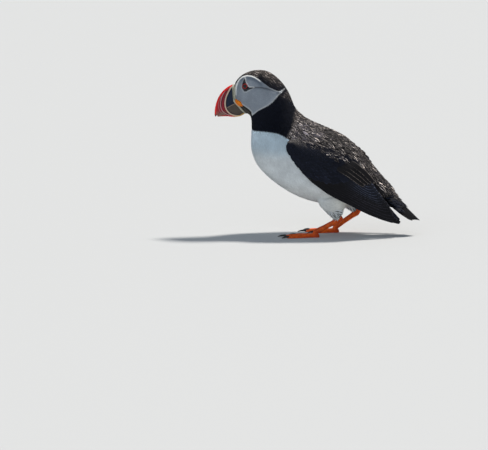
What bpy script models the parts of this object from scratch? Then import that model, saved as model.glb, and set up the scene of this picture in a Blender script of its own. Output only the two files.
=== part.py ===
"""Atlantic puffin, a still life-size model that stands on two webbed feet.

Metres, +Z up. The bird faces -X, its left side is -Y, and the floor is z = 0.
The tables below are in millimetres and MM turns them into metres.
"""

import math

import bmesh
import bpy
import numpy as np
from mathutils import Vector
from mathutils.bvhtree import BVHTree

MM = 0.001
GAP = 0.3  # clearance between neighbouring pieces
RIDGE = 0.3  # half width of the narrow flat along the top and bottom of a loft
LEFT, RIGHT = -1, 1  # sign of y

# Body stations from the bill to the tail. Each is a cross-section through a point of the
# upper outline and a point of the lower outline: top x, top z, bottom x, bottom z, how far
# its middle bows towards the bill, half width, height of the widest level (-1 to 1), squareness.
BODY = [
    (-96.2, 177.4, -82.3, 141.6, 5.6, 9.0, -0.10, 2.2),
    (-91.5, 183.6, -79.6, 140.2, 4.6, 13.2, -0.05, 2.2),
    (-83.5, 189.2, -77.6, 138.0, 3.0, 16.0, 0.00, 2.2),
    (-73.0, 192.2, -76.9, 133.5, 1.0, 17.6, 0.00, 2.2),
    (-61.5, 192.0, -76.9, 127.5, 0.0, 18.6, 0.00, 2.2),
    (-51.5, 187.5, -77.1, 121.5, 0.0, 19.2, 0.00, 2.2),
    (-43.5, 180.3, -77.6, 115.0, 0.0, 19.8, 0.00, 2.2),
    (-36.5, 171.6, -78.0, 108.5, 0.0, 20.6, 0.00, 2.2),
    (-31.0, 161.5, -77.8, 101.5, 0.0, 22.4, 0.00, 2.2),
    (-27.2, 151.0, -76.6, 94.5, 0.0, 25.4, 0.00, 2.2),
    (-20.5, 142.8, -73.8, 87.0, 0.0, 29.2, 0.00, 2.2),
    (-9.5, 134.4, -69.0, 79.0, 0.0, 33.0, 0.00, 2.3),
    (4.5, 128.0, -61.0, 70.2, 0.0, 36.0, 0.00, 2.3),
    (20.5, 121.0, -50.0, 61.0, 0.0, 38.0, 0.00, 2.4),
    (36.5, 111.5, -36.5, 51.8, 0.0, 38.5, 0.00, 2.4),
    (49.5, 99.0, -21.5, 44.3, 0.0, 37.5, 0.00, 2.4),
    (60.0, 86.5, -4.5, 38.8, 0.0, 35.0, 0.00, 2.3),
    (69.0, 75.8, 14.0, 35.7, 0.0, 31.0, 0.00, 2.2),
    (76.5, 67.3, 33.5, 34.8, 0.0, 27.0, 0.00, 2.2),
    (82.0, 61.5, 52.0, 35.2, 0.0, 22.5, 0.00, 2.2),
    (86.5, 56.5, 68.0, 37.2, 0.0, 17.5, 0.00, 2.2),
    (90.5, 52.0, 80.0, 40.8, 0.0, 12.5, 0.00, 2.2),
]
HEAD_ENDS, NECK_ENDS = 5.0, 9.5  # places along BODY where the thin cuts fall

# The fleshy ridge round the base of the bill, in the same terms as BODY.
BILL_BASE = [
    (-98.2, 175.8, -83.6, 141.7, 5.8, 8.2, -0.10, 2.2),
    (-97.6, 177.1, -83.0, 141.2, 5.8, 9.6, -0.10, 2.2),
    (-96.8, 177.2, -82.7, 141.5, 5.8, 9.2, -0.10, 2.2),
]
# The mandibles run from the base to the tip. The widest level is where they meet.
UPPER_MANDIBLE = [
    (-98.7, 175.2, -97.2, 156.6, 0.0, 7.6, -1.0, 1.9),
    (-104.5, 172.2, -101.5, 152.9, 0.0, 6.8, -1.0, 1.9),
    (-110.5, 167.0, -106.0, 149.1, 0.0, 5.9, -1.0, 1.9),
    (-115.3, 160.1, -110.3, 145.3, 0.0, 4.9, -1.0, 1.9),
    (-118.3, 152.0, -114.2, 141.9, 0.0, 3.8, -1.0, 1.9),
    (-119.6, 144.6, -117.2, 139.4, 0.0, 2.4, -1.0, 1.9),
    (-119.7, 139.6, -119.0, 137.6, 0.0, 0.9, -1.0, 1.9),
]
LOWER_MANDIBLE = [
    (-97.3, 156.1, -84.4, 141.9, 0.0, 7.6, 1.0, 1.9),
    (-101.6, 152.4, -90.0, 138.6, 0.0, 6.8, 1.0, 1.9),
    (-106.1, 148.6, -97.0, 137.5, 0.0, 5.9, 1.0, 1.9),
    (-110.4, 144.8, -104.5, 138.2, 0.0, 4.8, 1.0, 1.9),
    (-114.2, 141.4, -111.3, 138.0, 0.0, 3.5, 1.0, 1.9),
    (-116.8, 139.0, -116.0, 137.7, 0.0, 1.6, 1.0, 1.9),
]

# A folded wing in side view, from the bend to the tip: lower edge x, z, upper edge x, z,
# least distance of its inner face from the middle of the bird, and thickness.
WING = [
    (-36.0, 108.0, -33.0, 114.0, 26.0, 3.0),
    (-34.5, 103.0, -24.0, 115.5, 30.0, 4.2),
    (-28.8, 91.8, -13.0, 112.0, 33.0, 5.0),
    (-19.0, 78.4, 0.0, 109.0, 35.0, 5.6),
    (-7.5, 67.7, 14.0, 105.0, 36.0, 6.0),
    (8.0, 57.1, 30.0, 100.0, 36.5, 6.0),
    (23.4, 47.2, 44.0, 91.5, 36.0, 5.6),
    (36.9, 40.0, 55.0, 80.5, 34.5, 5.0),
    (50.4, 31.8, 64.0, 67.5, 31.5, 4.2),
    (62.0, 26.0, 73.0, 53.5, 28.0, 3.4),
    (74.0, 21.7, 82.0, 40.5, 24.5, 2.6),
    (85.3, 18.6, 90.0, 29.8, 21.5, 1.9),
    (96.0, 16.0, 97.5, 20.0, 19.0, 1.3),
]
WING_BEND = (-34.5, 110.0)  # the folded wings turn about this place
LEFT_LIFT, RIGHT_LIFT = 0.0, 4.5  # degrees that each wing's tip is raised
ARM_ENDS = 7.5  # place along WING where the long primaries take over
RIM = 0.8  # thickness of a wing at its edge

TAIL_ROOT = (85.6, 46.2)
TAIL_TIP = (119.3, 16.6)
# Along the tail: share of its length, half width, thickness.
TAIL = [
    (0.00, 11.0, 13.0),
    (0.12, 12.0, 9.0),
    (0.30, 13.8, 5.0),
    (0.50, 15.6, 3.4),
    (0.70, 16.8, 2.4),
    (0.84, 16.6, 1.9),
    (0.93, 13.6, 1.5),
    (0.98, 9.5, 1.2),
    (1.00, 5.0, 1.0),
]
TAIL_ARCH = 0.006  # droop of the tail's sides, per millimetre of half width

EYE = (-83.8, 174.7)  # the eye's place in side view
EYE_RADIUS = 3.5
EYE_SINK = 2.3  # the eyeball's centre lies this far under the cheek
# Small outlines in side view, from the front round over the top.
EYE_HORN = [(-86.9, 178.7), (-85.6, 181.8), (-84.3, 184.4), (-83.0, 181.6), (-81.2, 178.8), (-83.9, 179.5)]
EYE_BAR = [(-87.3, 170.0), (-83.9, 170.3), (-79.6, 170.9), (-77.6, 170.2), (-83.2, 168.0)]
GAPE = [(-96.1, 158.8), (-93.7, 160.0), (-90.4, 157.2), (-86.6, 153.0), (-87.4, 150.6), (-91.5, 152.8), (-95.2, 156.2)]

# Legs: heel, toe joint, how far ahead the thigh's root lies, all x, y, z.
LEFT_LEG = {"heel": (26.8, -21.0, 20.8), "joint": (-1.0, -22.0, 6.4), "thigh": (18.0, -21.0, 47.0)}
RIGHT_LEG = {"heel": (47.0, 20.0, 25.0), "joint": (20.5, 20.0, 6.4), "thigh": (35.0, 20.0, 47.0)}
# Toes: name, degrees outwards from straight ahead, length, claw length.
TOES = [("inner", -21.0, 28.0, 6.5), ("middle", 0.0, 36.5, 7.5), ("outer", 20.0, 35.0, 6.0)]
WEB = 1.0  # thickness of the web between the toes


# ---------------------------------------------------------------- materials
def material(name, colour, roughness, metallic=0.0):
    made = bpy.data.materials.new(name)
    made.use_nodes = True
    shader = made.node_tree.nodes["Principled BSDF"]
    shader.inputs["Base Color"].default_value = (*colour, 1.0)
    shader.inputs["Roughness"].default_value = roughness
    shader.inputs["Metallic"].default_value = metallic
    return made


# ---------------------------------------------------------------- curves and lofts
def along(table, place):
    """The table's row at a place between its stations, on a Catmull-Rom curve."""
    rows = np.array(table, float)
    index = min(int(place), len(rows) - 2)
    t = place - index
    before, a = rows[max(index - 1, 0)], rows[index]
    b, after = rows[index + 1], rows[min(index + 2, len(rows) - 1)]
    return 0.5 * (
        2 * a
        + (b - before) * t
        + (2 * before - 5 * a + 4 * b - after) * t**2
        + (3 * a - before - 3 * b + after) * t**3
    )


def station_ring(station, per_side, grow=0.0):
    """One cross-section: down the left side from the top, then up the right side."""
    top_x, top_z, bottom_x, bottom_z, bow, half, level, square = station
    top, bottom = np.array((top_x, top_z)), np.array((bottom_x, bottom_z))
    upward = (top - bottom) / np.linalg.norm(top - bottom)
    top, bottom = top + grow * upward, bottom - grow * upward
    ahead = np.array((-upward[1], upward[0]))
    left, right = [], []
    for j in range(per_side + 1):
        height = math.cos(math.pi * j / per_side)
        reach = 1 - level if height > level else 1 + level
        off = abs(height - level) / max(reach, 1e-6)
        width = (half + grow) * max(1 - off**square, 0.0) ** (1 / square)
        down = (1 - height) / 2
        x, z = top + (bottom - top) * down + ahead * bow * (1 - abs(height) ** 1.3)
        left.append((x, -max(width, RIDGE), z))
        right.append((x, max(width, RIDGE), z))
    return np.array(left + right[::-1]) * MM


def solid(name, points, faces, finish, smooth_deg=40.0):
    """A closed mesh object whose faces point outwards."""
    mesh = bpy.data.meshes.new(name)
    mesh.from_pydata([tuple(p) for p in points], [], faces)
    work = bmesh.new()
    work.from_mesh(mesh)
    bmesh.ops.recalc_face_normals(work, faces=work.faces)
    work.to_mesh(mesh)
    work.free()
    mesh.shade_smooth()
    mesh.set_sharp_from_angle(angle=math.radians(smooth_deg))
    mesh.materials.append(finish)
    made = bpy.data.objects.new(name, mesh)
    PUFFIN.objects.link(made)
    return made


def ring_loft(name, rings, finish, smooth_deg=40.0):
    """A closed loft through rings of station_ring's kind: its end caps are strips from side to side."""
    count = len(rings[0])
    faces = []
    for k in range(len(rings) - 1):
        for j in range(count):
            nxt = (j + 1) % count
            a, b = k * count, (k + 1) * count
            faces.append((a + j, a + nxt, b + nxt, b + j))
    last = (len(rings) - 1) * count
    for j in range(count // 2 - 1):
        mirror = count - 1 - j
        faces.append((j, mirror, mirror - 1, j + 1))
        faces.append((last + j + 1, last + mirror - 1, last + mirror, last + j))
    return solid(name, np.concatenate(rings), faces, finish, smooth_deg)


def body_loft(name, table, start, end, finish, steps=2, per_side=13, grow=0.0):
    """The stretch of a station table from start to end, trimmed by half a gap at an inner cut."""
    places = [start, *[p / steps for p in range(math.ceil(start * steps), math.floor(end * steps) + 1)], end]
    places = [p for i, p in enumerate(places) if i == 0 or p - places[i - 1] > 0.05]
    if end - places[-1] > 1e-9:
        places[-1] = end
    rings = [station_ring(along(table, p), per_side, grow) for p in places]
    for ring, inner, is_cut in (
        (rings[0], rings[1], start > 0),
        (rings[-1], rings[-2], end < len(table) - 1),
    ):
        if is_cut:
            step = np.linalg.norm(inner - ring, axis=1, keepdims=True)
            ring += (inner - ring) / step * np.minimum(GAP / 2 * MM / 0.8, 0.4 * step)
    return ring_loft(name, rings, finish)


def limb(name, path, radii, finish, sides=12, grow=0.0):
    """A tapering limb through the path's points, with an elliptical section: radius in its own plane, radius across."""
    centres = np.array(path, float)
    rings = []
    for k, (in_plane, across) in enumerate(radii):
        before, after = centres[max(k - 1, 0)], centres[min(k + 1, len(centres) - 1)]
        run = (after - before) / np.linalg.norm(after - before)
        side = np.cross(run, (0.0, 1.0, 0.0))
        side /= np.linalg.norm(side)
        over = np.cross(side, run)
        centre = centres[k] - run * grow * (k == 0) + run * grow * (k == len(radii) - 1)
        angles = [2 * math.pi * j / sides for j in range(sides)]
        rings.append(
            [centre + side * (in_plane + grow) * math.cos(a) + over * (across + grow) * math.sin(a) for a in angles]
        )
    points = [p * MM for ring in rings for p in ring]
    faces = [
        (k * sides + j, k * sides + (j + 1) % sides, (k + 1) * sides + (j + 1) % sides, (k + 1) * sides + j)
        for k in range(len(rings) - 1)
        for j in range(sides)
    ]
    faces.append(tuple(range(sides)))
    faces.append(tuple(range(len(points) - sides, len(points)))[::-1])
    return solid(name, points, faces, finish)


def as_cutter(piece):
    """Moves a piece to the cutters, which are left out of the model."""
    PUFFIN.objects.unlink(piece)
    CUTTERS.objects.link(piece)
    piece.hide_render = True
    piece.display_type = "WIRE"
    return piece


def cut_by(piece, cutter):
    modifier = piece.modifiers.new(f"clear of {cutter.name}", "BOOLEAN")
    modifier.operation = "DIFFERENCE"
    modifier.use_self = True
    modifier.object = cutter


# ---------------------------------------------------------------- places on the body's sides
def tree_of(*pieces):
    """A search tree of the pieces as they are modelled, before any cut."""
    points, faces = [], []
    for piece in pieces:
        offset = len(points)
        points += [v.co.copy() for v in piece.data.vertices]
        faces += [[offset + i for i in p.vertices] for p in piece.data.polygons]
    return BVHTree.FromPolygons(points, faces)


def side_reach(tree, x, z, side):
    """How far the surface lies from the middle plane at this place in side view, or None past its outline."""
    start = Vector((x * MM, side * 0.2, z * MM))
    hit = tree.ray_cast(start, Vector((0.0, -side, 0.0)))[0]
    return None if hit is None else abs(hit.y) / MM


def reach_near(tree, x, z, side, around=0.9):
    """The farthest reach at and just round a place, which bridges the thin cuts."""
    spots = [(x, z), (x + around, z), (x - around, z), (x, z + around), (x, z - around)]
    return max(side_reach(tree, *spot, side) or 0.0 for spot in spots)


def plate(name, outline, tree, side, thickness, finish):
    """A thin plate with this outline in side view that lies on the surface."""
    edge = np.array(outline, float)
    centre = edge.mean(0)
    spots = [*edge, *(centre + (edge - centre) * 0.5), centre]
    reach = [reach_near(tree, x, z, side) + GAP for x, z in spots]
    count = len(edge)
    domed = [0.35] * count + [0.9] * count + [1.0]
    inner = [(x, side * y, z) for (x, z), y in zip(spots, reach)]
    outer = [(x, side * (y + thickness * d), z) for (x, z), y, d in zip(spots, reach, domed)]
    total = len(spots)
    faces = []
    for j in range(count):
        nxt = (j + 1) % count
        for base in (0, total):
            faces.append((base + j, base + nxt, base + count + nxt, base + count + j))
            faces.append((base + count + j, base + count + nxt, base + total - 1))
        faces.append((j, nxt, total + nxt, total + j))
    return solid(name, np.array(inner + outer) * MM, faces, finish)


# ---------------------------------------------------------------- the wings
def turned(x, z, degrees):
    """A place in side view, turned about the wing's bend."""
    c, s = math.cos(math.radians(degrees)), math.sin(math.radians(degrees))
    dx, dz = x - WING_BEND[0], z - WING_BEND[1]
    return WING_BEND[0] + dx * c - dz * s, WING_BEND[1] + dx * s + dz * c


def wing_sheet(tree, side, lift, across=7, per_station=2):
    """Grid of the wing's inner face, and its thickness, from the bend to the tip. It lies on the body's side."""
    rows = [along(WING, k / per_station) for k in range((len(WING) - 1) * per_station + 1)]
    sheet, thick = [], []
    for low_x, low_z, high_x, high_z, least, most in rows:
        line, depth = [], []
        for j in range(across):
            v = j / (across - 1)
            x, z = turned(low_x + (high_x - low_x) * v, low_z + (high_z - low_z) * v, lift)
            reach = side_reach(tree, x, z, side)
            line.append((x, max(least, 0.0 if reach is None else reach + GAP), z))
            depth.append(max(most * (1 - abs(2 * v - 1) ** 3), RIM))
        sheet.append(line)
        thick.append(depth)
    return np.array(sheet), np.array(thick)


def relaxed(sheet, tree, side, rounds=6):
    """Evens out the sheet's distance from the body, and keeps it clear of the body."""
    floor = np.array([[(side_reach(tree, x, z, side) or 0.0) + GAP for x, _, z in line] for line in sheet])
    for _ in range(rounds):
        y = np.pad(sheet[:, :, 1], 1, mode="edge")
        mean = (y[:-2, 1:-1] + y[2:, 1:-1] + y[1:-1, :-2] + y[1:-1, 2:]) / 4
        sheet[:, :, 1] = np.maximum(mean, floor)
    return sheet


def wing_piece(name, sheet, thick, side, first, last, finish):
    """The stretch of the wing between two rows of its grid, as a closed plate."""
    inner = sheet[first : last + 1].copy()
    outer = inner.copy()
    outer[:, :, 1] += thick[first : last + 1]
    rows, across = inner.shape[:2]
    points = np.concatenate([inner.reshape(-1, 3), outer.reshape(-1, 3)]) * (MM, side * MM, MM)
    total = rows * across
    faces = []
    for k in range(rows - 1):
        for j in range(across - 1):
            a, b = k * across + j, (k + 1) * across + j
            faces.append((a, a + 1, b + 1, b))
            faces.append((total + a, total + b, total + b + 1, total + a + 1))
    rim = [j for j in range(across)]
    rim += [k * across + across - 1 for k in range(1, rows)]
    rim += [(rows - 1) * across + j for j in range(across - 2, -1, -1)]
    rim += [k * across for k in range(rows - 2, 0, -1)]
    for a, b in zip(rim, rim[1:] + rim[:1]):
        faces.append((a, b, total + b, total + a))
    return solid(name, points, faces, finish, smooth_deg=60.0)


def wing(side, word, lift, tree, finish, flight_finish):
    per_station = 2
    sheet, thick = wing_sheet(tree, side, lift, per_station=per_station)
    sheet = relaxed(sheet, tree, side)
    split = round(ARM_ENDS * per_station)
    arm = wing_piece(f"wing_{word}", sheet, thick, side, 0, split, finish)
    # The primaries start a gap further on, so their first row moves along the wing.
    step = sheet[split + 1] - sheet[split]
    sheet[split] += step / np.linalg.norm(step, axis=1, keepdims=True) * GAP * 1.3
    primaries = wing_piece(f"primaries_{word}", sheet, thick, side, split, len(sheet) - 1, flight_finish)
    return arm, primaries


# ---------------------------------------------------------------- the tail
def tail(finish):
    root, tip = np.array(TAIL_ROOT), np.array(TAIL_TIP)
    run = (tip - root) / np.linalg.norm(tip - root)
    upward = np.array((-run[1], run[0]))
    stations = []
    for share, half, thick in TAIL:
        centre = root + (tip - root) * share
        top, bottom = centre + upward * thick / 2, centre - upward * thick / 2
        stations.append((*top, *bottom, 0.0, half, 0.0, 3.0))
    rings = [station_ring(s, 6) for s in stations]
    for ring in rings:
        ring[:, 2] -= TAIL_ARCH * (ring[:, 1] / MM) ** 2 * MM
    return ring_loft("tail", rings, finish, smooth_deg=60.0)


# ---------------------------------------------------------------- the legs
def toe_tips(leg, side):
    """Where each toe ends, and its direction seen from above."""
    x, y, _ = leg["joint"]
    found = {}
    for name, outward, length, claw in TOES:
        angle = math.radians(outward)
        ahead = np.array((-math.cos(angle), side * math.sin(angle)))
        found[name] = (np.array((x, y)) + ahead * length, ahead, length, claw, angle)
    return found


def foot(name, leg, side, finish, grow=0.0):
    """Three toes and their webs as one low relief round the toe joint, flat underneath."""
    x, y, _ = leg["joint"]
    toes = [(math.radians(outward), length) for _, outward, length, _ in TOES]
    angles = []
    for i, (angle, _) in enumerate(toes):
        angles += [angle + math.radians(d) for d in (-4.0, -1.8, 0.0, 1.8, 4.0)]
        if i + 1 < len(toes):
            gap = toes[i + 1][0] - angle
            angles += [angle + gap * share for share in (0.36, 0.5, 0.64)]
    first, last = angles[0], angles[-1]
    turn_back = 2 * math.pi - (last - first)
    angles += [last + turn_back * k / 9 for k in range(1, 9)]
    shares = (0.08, 0.18, 0.34, 0.54, 0.74, 0.9, 0.97, 1.0)

    def reach(angle):
        back = 4.2
        if angle > last or angle < first:
            away = min(abs(angle - last), abs(angle - first - 2 * math.pi))
            return back + (toes[-1][1] - 5 - back) * math.exp(-((away / 0.16) ** 2))
        for (a, long_a), (b, long_b) in zip(toes, toes[1:]):
            if a <= angle <= b:
                f = (angle - a) / (b - a)
                web = (long_a + (long_b - long_a) * f - 5) * (1 - 0.17 * math.sin(math.pi * f))
                return web + 5 * max(math.exp(-((angle - t) / 0.05) ** 2) for t, _ in toes)
        nearest = min(toes, key=lambda toe: abs(angle - toe[0]))
        return nearest[1] - 5 + 5 * math.exp(-(((angle - nearest[0]) / 0.05) ** 2))

    def height(angle, radius, share):
        ridge = 0.0
        for toe_angle, length in toes:
            if math.cos(angle - toe_angle) > 0:
                off = radius * math.sin(angle - toe_angle)
                ridge = max(ridge, (3.1 - 1.0 * radius / length) * math.exp(-((off / 1.9) ** 2)))
        hub = 4.6 * math.exp(-((radius / 4.6) ** 2))
        full = WEB + max(ridge, hub)
        return full * max(1 - share**8, 0.0) ** 0.5 * 0.65 + full * 0.35

    top, low = [(x, y, WEB + 4.6 + grow)], [(x, y, -grow)]
    for share in shares:
        for angle in angles:
            radius = share * (reach(angle) + grow)
            px = x - math.cos(angle) * radius
            py = y + side * math.sin(angle) * radius
            top.append((px, py, height(angle, radius, share) + grow))
            low.append((px, py, -grow))
    count, total = len(angles), len(top)
    faces = []
    for base in (0, total):
        for j in range(count):
            nxt = (j + 1) % count
            faces.append((base, base + 1 + j, base + 1 + nxt))
            for k in range(len(shares) - 1):
                a, b = base + 1 + k * count, base + 1 + (k + 1) * count
                faces.append((a + j, b + j, b + nxt, a + nxt))
    rim = 1 + (len(shares) - 1) * count
    for j in range(count):
        nxt = (j + 1) % count
        faces.append((rim + j, rim + nxt, total + rim + nxt, total + rim + j))
    return solid(name, np.array(top + low) * MM, faces, finish, smooth_deg=50.0)


def claw(name, tip, ahead, length, finish):
    """A small curved claw that starts a gap ahead of its toe and bends down to the floor."""
    start = tip + ahead * (GAP + 0.15)
    path = [(*(start + ahead * length * s), h) for s, h in ((0.0, 1.7), (0.3, 1.9), (0.6, 1.6), (0.85, 0.95), (1.0, 0.4))]
    radii = [(1.25, 1.1), (1.2, 0.95), (0.9, 0.75), (0.55, 0.5), (0.3, 0.3)]
    return limb(name, path, radii, finish, sides=8)


def tarsus_path(leg):
    """From the stub of the shin, round the heel, to the toe joint."""
    heel, joint = np.array(leg["heel"]), np.array(leg["joint"])
    run = (joint - heel) / np.linalg.norm(joint - heel)
    stub = heel + np.array((-2.6, 0.0, 4.8))
    mid = heel + np.array((-0.2, 0.0, 1.2))
    down = joint + np.array((-2.2, 0.0, -3.4))
    path = [stub, mid, heel + run * 3.0, heel + run * 9.0, heel + (joint - heel) * 0.62, joint - run * 4.0, joint, down]
    radii = [(3.4, 2.9), (3.9, 3.0), (3.7, 2.8), (2.9, 2.2), (2.7, 2.0), (2.9, 2.3), (3.0, 2.7), (2.4, 2.5)]
    return path, radii


def leg(word, side, spec, body_cutter, feather, skin, horn):
    path, radii = tarsus_path(spec)
    tarsus = limb(f"tarsus_{word}", path, radii, skin)
    foot(f"foot_{word}", spec, side, skin)
    cut_by(tarsus, as_cutter(foot(f"foot_{word}_room", spec, side, skin, grow=GAP)))
    for name, (tip, ahead, _, length, _) in toe_tips(spec, side).items():
        claw(f"claw_{word}_{name}", tip, ahead, length, horn)
    root, heel = np.array(spec["thigh"]), np.array(spec["heel"])
    foot_of_tuft = heel + np.array((-3.0, 0.0, 1.6))
    shares = (0.0, 0.3, 0.58, 0.82, 1.0)
    thigh_path = [root + (foot_of_tuft - root) * s for s in shares]
    thigh_radii = [(19.0, 12.0), (17.5, 11.2), (12.5, 9.4), (7.6, 6.8), (4.9, 4.6)]
    thigh = limb(f"thigh_{word}", thigh_path, thigh_radii, feather, sides=18)
    cut_by(thigh, body_cutter)
    cut_by(thigh, as_cutter(limb(f"tarsus_{word}_room", path, radii, skin, grow=0.6)))
    return thigh


# ---------------------------------------------------------------- the head's small pieces
def eye(word, side, head, tree, finish):
    x, z = EYE
    centre = Vector((x, side * (side_reach(tree, x, z, side) - EYE_SINK), z)) * MM
    for name, radius in ((f"eye_{word}", EYE_RADIUS), (f"eye_{word}_socket", EYE_RADIUS + GAP)):
        bpy.ops.mesh.primitive_uv_sphere_add(segments=16, ring_count=10, radius=radius * MM, location=centre)
        ball = bpy.context.object
        ball.name = name
        ball.data.materials.append(finish)
        ball.data.shade_smooth()
        for owner in list(ball.users_collection):
            owner.objects.unlink(ball)
        PUFFIN.objects.link(ball)
    cut_by(head, as_cutter(ball))


# ---------------------------------------------------------------- assembly
def build():
    black = material("black plumage", (0.018, 0.017, 0.019), 0.62)
    white = material("white plumage", (0.82, 0.83, 0.84), 0.75)
    flight = material("flight feathers", (0.022, 0.022, 0.026), 0.48)
    red = material("red bill horn", (0.62, 0.06, 0.03), 0.35)
    slate = material("slate bill horn", (0.16, 0.17, 0.20), 0.40)
    cream = material("cream bill ridge", (0.72, 0.62, 0.40), 0.50)
    gape = material("yellow gape skin", (0.85, 0.38, 0.03), 0.50)
    orange = material("orange leg skin", (0.80, 0.17, 0.03), 0.50)
    horn = material("black horn", (0.02, 0.02, 0.02), 0.40)
    wet = material("eye", (0.02, 0.015, 0.012), 0.08)

    head = body_loft("head", BODY, 0.0, HEAD_ENDS, black)
    neck = body_loft("neck", BODY, HEAD_ENDS, NECK_ENDS, black)
    trunk = body_loft("trunk", BODY, NECK_ENDS, len(BODY) - 1, white)
    trunk_room = as_cutter(body_loft("trunk_room", BODY, NECK_ENDS, len(BODY) - 1, white, grow=GAP))

    base = ring_loft("bill_base", [station_ring(s, 10) for s in BILL_BASE], cream)
    upper = body_loft("bill_upper", UPPER_MANDIBLE, 0.0, len(UPPER_MANDIBLE) - 1, red, per_side=10)
    lower = body_loft("bill_lower", LOWER_MANDIBLE, 0.0, len(LOWER_MANDIBLE) - 1, slate, per_side=10)

    face_tree, flank_tree = tree_of(head, base, upper, lower), tree_of(neck, trunk)
    for side, word in ((LEFT, "left"), (RIGHT, "right")):
        eye(word, side, head, face_tree, wet)
        plate(f"eye_horn_{word}", EYE_HORN, face_tree, side, 0.9, horn)
        plate(f"eye_bar_{word}", EYE_BAR, face_tree, side, 0.9, horn)
        plate(f"gape_{word}", GAPE, face_tree, side, 1.6, gape)

    wing(LEFT, "left", LEFT_LIFT, flank_tree, black, flight)
    wing(RIGHT, "right", RIGHT_LIFT, flank_tree, black, flight)
    tail(flight)
    leg("left", LEFT, LEFT_LEG, trunk_room, white, orange, horn)
    leg("right", RIGHT, RIGHT_LEG, trunk_room, white, orange, horn)


for old in list(bpy.data.objects):
    bpy.data.objects.remove(old)
PUFFIN = bpy.data.collections.new("atlantic_puffin")
CUTTERS = bpy.data.collections.new("cutters")
bpy.context.scene.collection.children.link(PUFFIN)
bpy.context.scene.collection.children.link(CUTTERS)
build()
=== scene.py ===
# %% [markdown]
# # An Atlantic puffin, feather by feather
# The bird is 24 cm long and stands on two webbed feet. Its solids come packed from the
# construction step, and this lesson dresses them: one skin under the plumage, thousands of
# small feathers laid on it, long quills on the wings and tail, and the horn, skin and eyes.
# Everything is in metres, +Z up. The bird faces -X and its left side is -Y.

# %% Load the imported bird
import math

import bmesh
import bpy
import numpy as np
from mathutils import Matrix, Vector
from mathutils.bvhtree import BVHTree


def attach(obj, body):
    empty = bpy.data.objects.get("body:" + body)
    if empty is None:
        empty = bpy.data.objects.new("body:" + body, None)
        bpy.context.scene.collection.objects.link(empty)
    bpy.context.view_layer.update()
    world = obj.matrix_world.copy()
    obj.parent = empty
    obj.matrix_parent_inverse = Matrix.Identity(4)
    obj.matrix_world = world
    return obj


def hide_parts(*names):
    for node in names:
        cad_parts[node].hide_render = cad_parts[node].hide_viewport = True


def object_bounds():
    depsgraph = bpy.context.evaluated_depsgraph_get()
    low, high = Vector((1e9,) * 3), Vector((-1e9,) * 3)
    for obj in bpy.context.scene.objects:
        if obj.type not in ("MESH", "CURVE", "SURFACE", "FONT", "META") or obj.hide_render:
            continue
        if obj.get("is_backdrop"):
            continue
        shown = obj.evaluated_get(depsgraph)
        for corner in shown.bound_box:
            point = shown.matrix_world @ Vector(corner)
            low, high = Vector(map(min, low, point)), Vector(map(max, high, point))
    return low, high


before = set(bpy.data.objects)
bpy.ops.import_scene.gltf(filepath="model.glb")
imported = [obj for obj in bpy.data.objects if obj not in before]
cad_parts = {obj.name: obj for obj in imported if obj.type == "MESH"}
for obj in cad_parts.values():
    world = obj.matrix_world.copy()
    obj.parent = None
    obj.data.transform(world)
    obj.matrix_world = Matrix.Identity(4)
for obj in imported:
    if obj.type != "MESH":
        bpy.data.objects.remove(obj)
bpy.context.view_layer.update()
MM = 0.001
LEFT, RIGHT = -1, 1  # sign of y
SIDES = ((LEFT, "left"), (RIGHT, "right"))

# %% [markdown]
# ## Camera
# A shy bird is watched from far off through a long lens, which flattens it. The camera
# therefore stands five metres away, slightly behind the bird's side and a little above it.

# %% Set up the camera
scene = bpy.context.scene
VIEW_TURN, VIEW_RISE, VIEW_FAR = 3.0, 8.0, 5.0  # degrees, degrees, metres
VIEW_WIDTH = 0.5685  # width of the view at the bird, in metres
VIEW_CENTRE = (-0.0856, 0.0111)  # where the view's centre lies from the bird's origin: right, up
SENSOR = 36.0  # mm


def shown(name, data):
    """Puts an object with this data in the scene."""
    made = bpy.data.objects.new(name, data)
    scene.collection.objects.link(made)
    return made


turn, rise = math.radians(VIEW_TURN), math.radians(VIEW_RISE)
to_camera = Vector((math.sin(turn) * math.cos(rise), -math.cos(turn) * math.cos(rise), math.sin(rise)))
view_right = Vector((math.cos(turn), math.sin(turn), 0.0))
view_up = to_camera.cross(view_right)

lens = bpy.data.cameras.new("long lens")
lens.sensor_width, lens.lens = SENSOR, SENSOR * VIEW_FAR / VIEW_WIDTH
camera = shown("camera", lens)
camera.location = view_right * VIEW_CENTRE[0] + view_up * VIEW_CENTRE[1] + to_camera * VIEW_FAR
camera.rotation_euler = to_camera.to_track_quat("Z", "Y").to_euler()
scene.camera = camera
print("lens, mm:", round(lens.lens))

# %% [markdown]
# ## Light
# High sun from behind the bird's back lights its crown and mantle, and the side towards the
# camera gets soft cool light. Two sun lamps and a pale world do that. A wide angle makes the
# shadow's edge soft, as a large studio lamp would.


# %% Light the studio
def soft_sun(name, comes_from, strength, spread, colour):
    """A sun lamp whose light comes from a direction. Its spread is in degrees."""
    light = bpy.data.lights.new(name, "SUN")
    light.energy, light.angle, light.color = strength, math.radians(spread), colour
    shown(name, light).rotation_euler = Vector(comes_from).to_track_quat("Z", "Y").to_euler()


soft_sun("high sun", (0.42, 0.30, 1.0), 4.0, 9.0, (1.0, 0.95, 0.88))
soft_sun("sky side", (-0.5, -1.0, 0.55), 0.55, 70.0, (0.76, 0.88, 1.0))
scene.world = bpy.data.worlds.new("pale room")
scene.world.use_nodes = True
room = scene.world.node_tree.nodes["Background"].inputs
room["Color"].default_value, room["Strength"].default_value = (0.78, 0.87, 0.97, 1.0), 0.36
scene.view_settings.view_transform = "Standard"
print("suns:", [light.name for light in bpy.data.lights])

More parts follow.
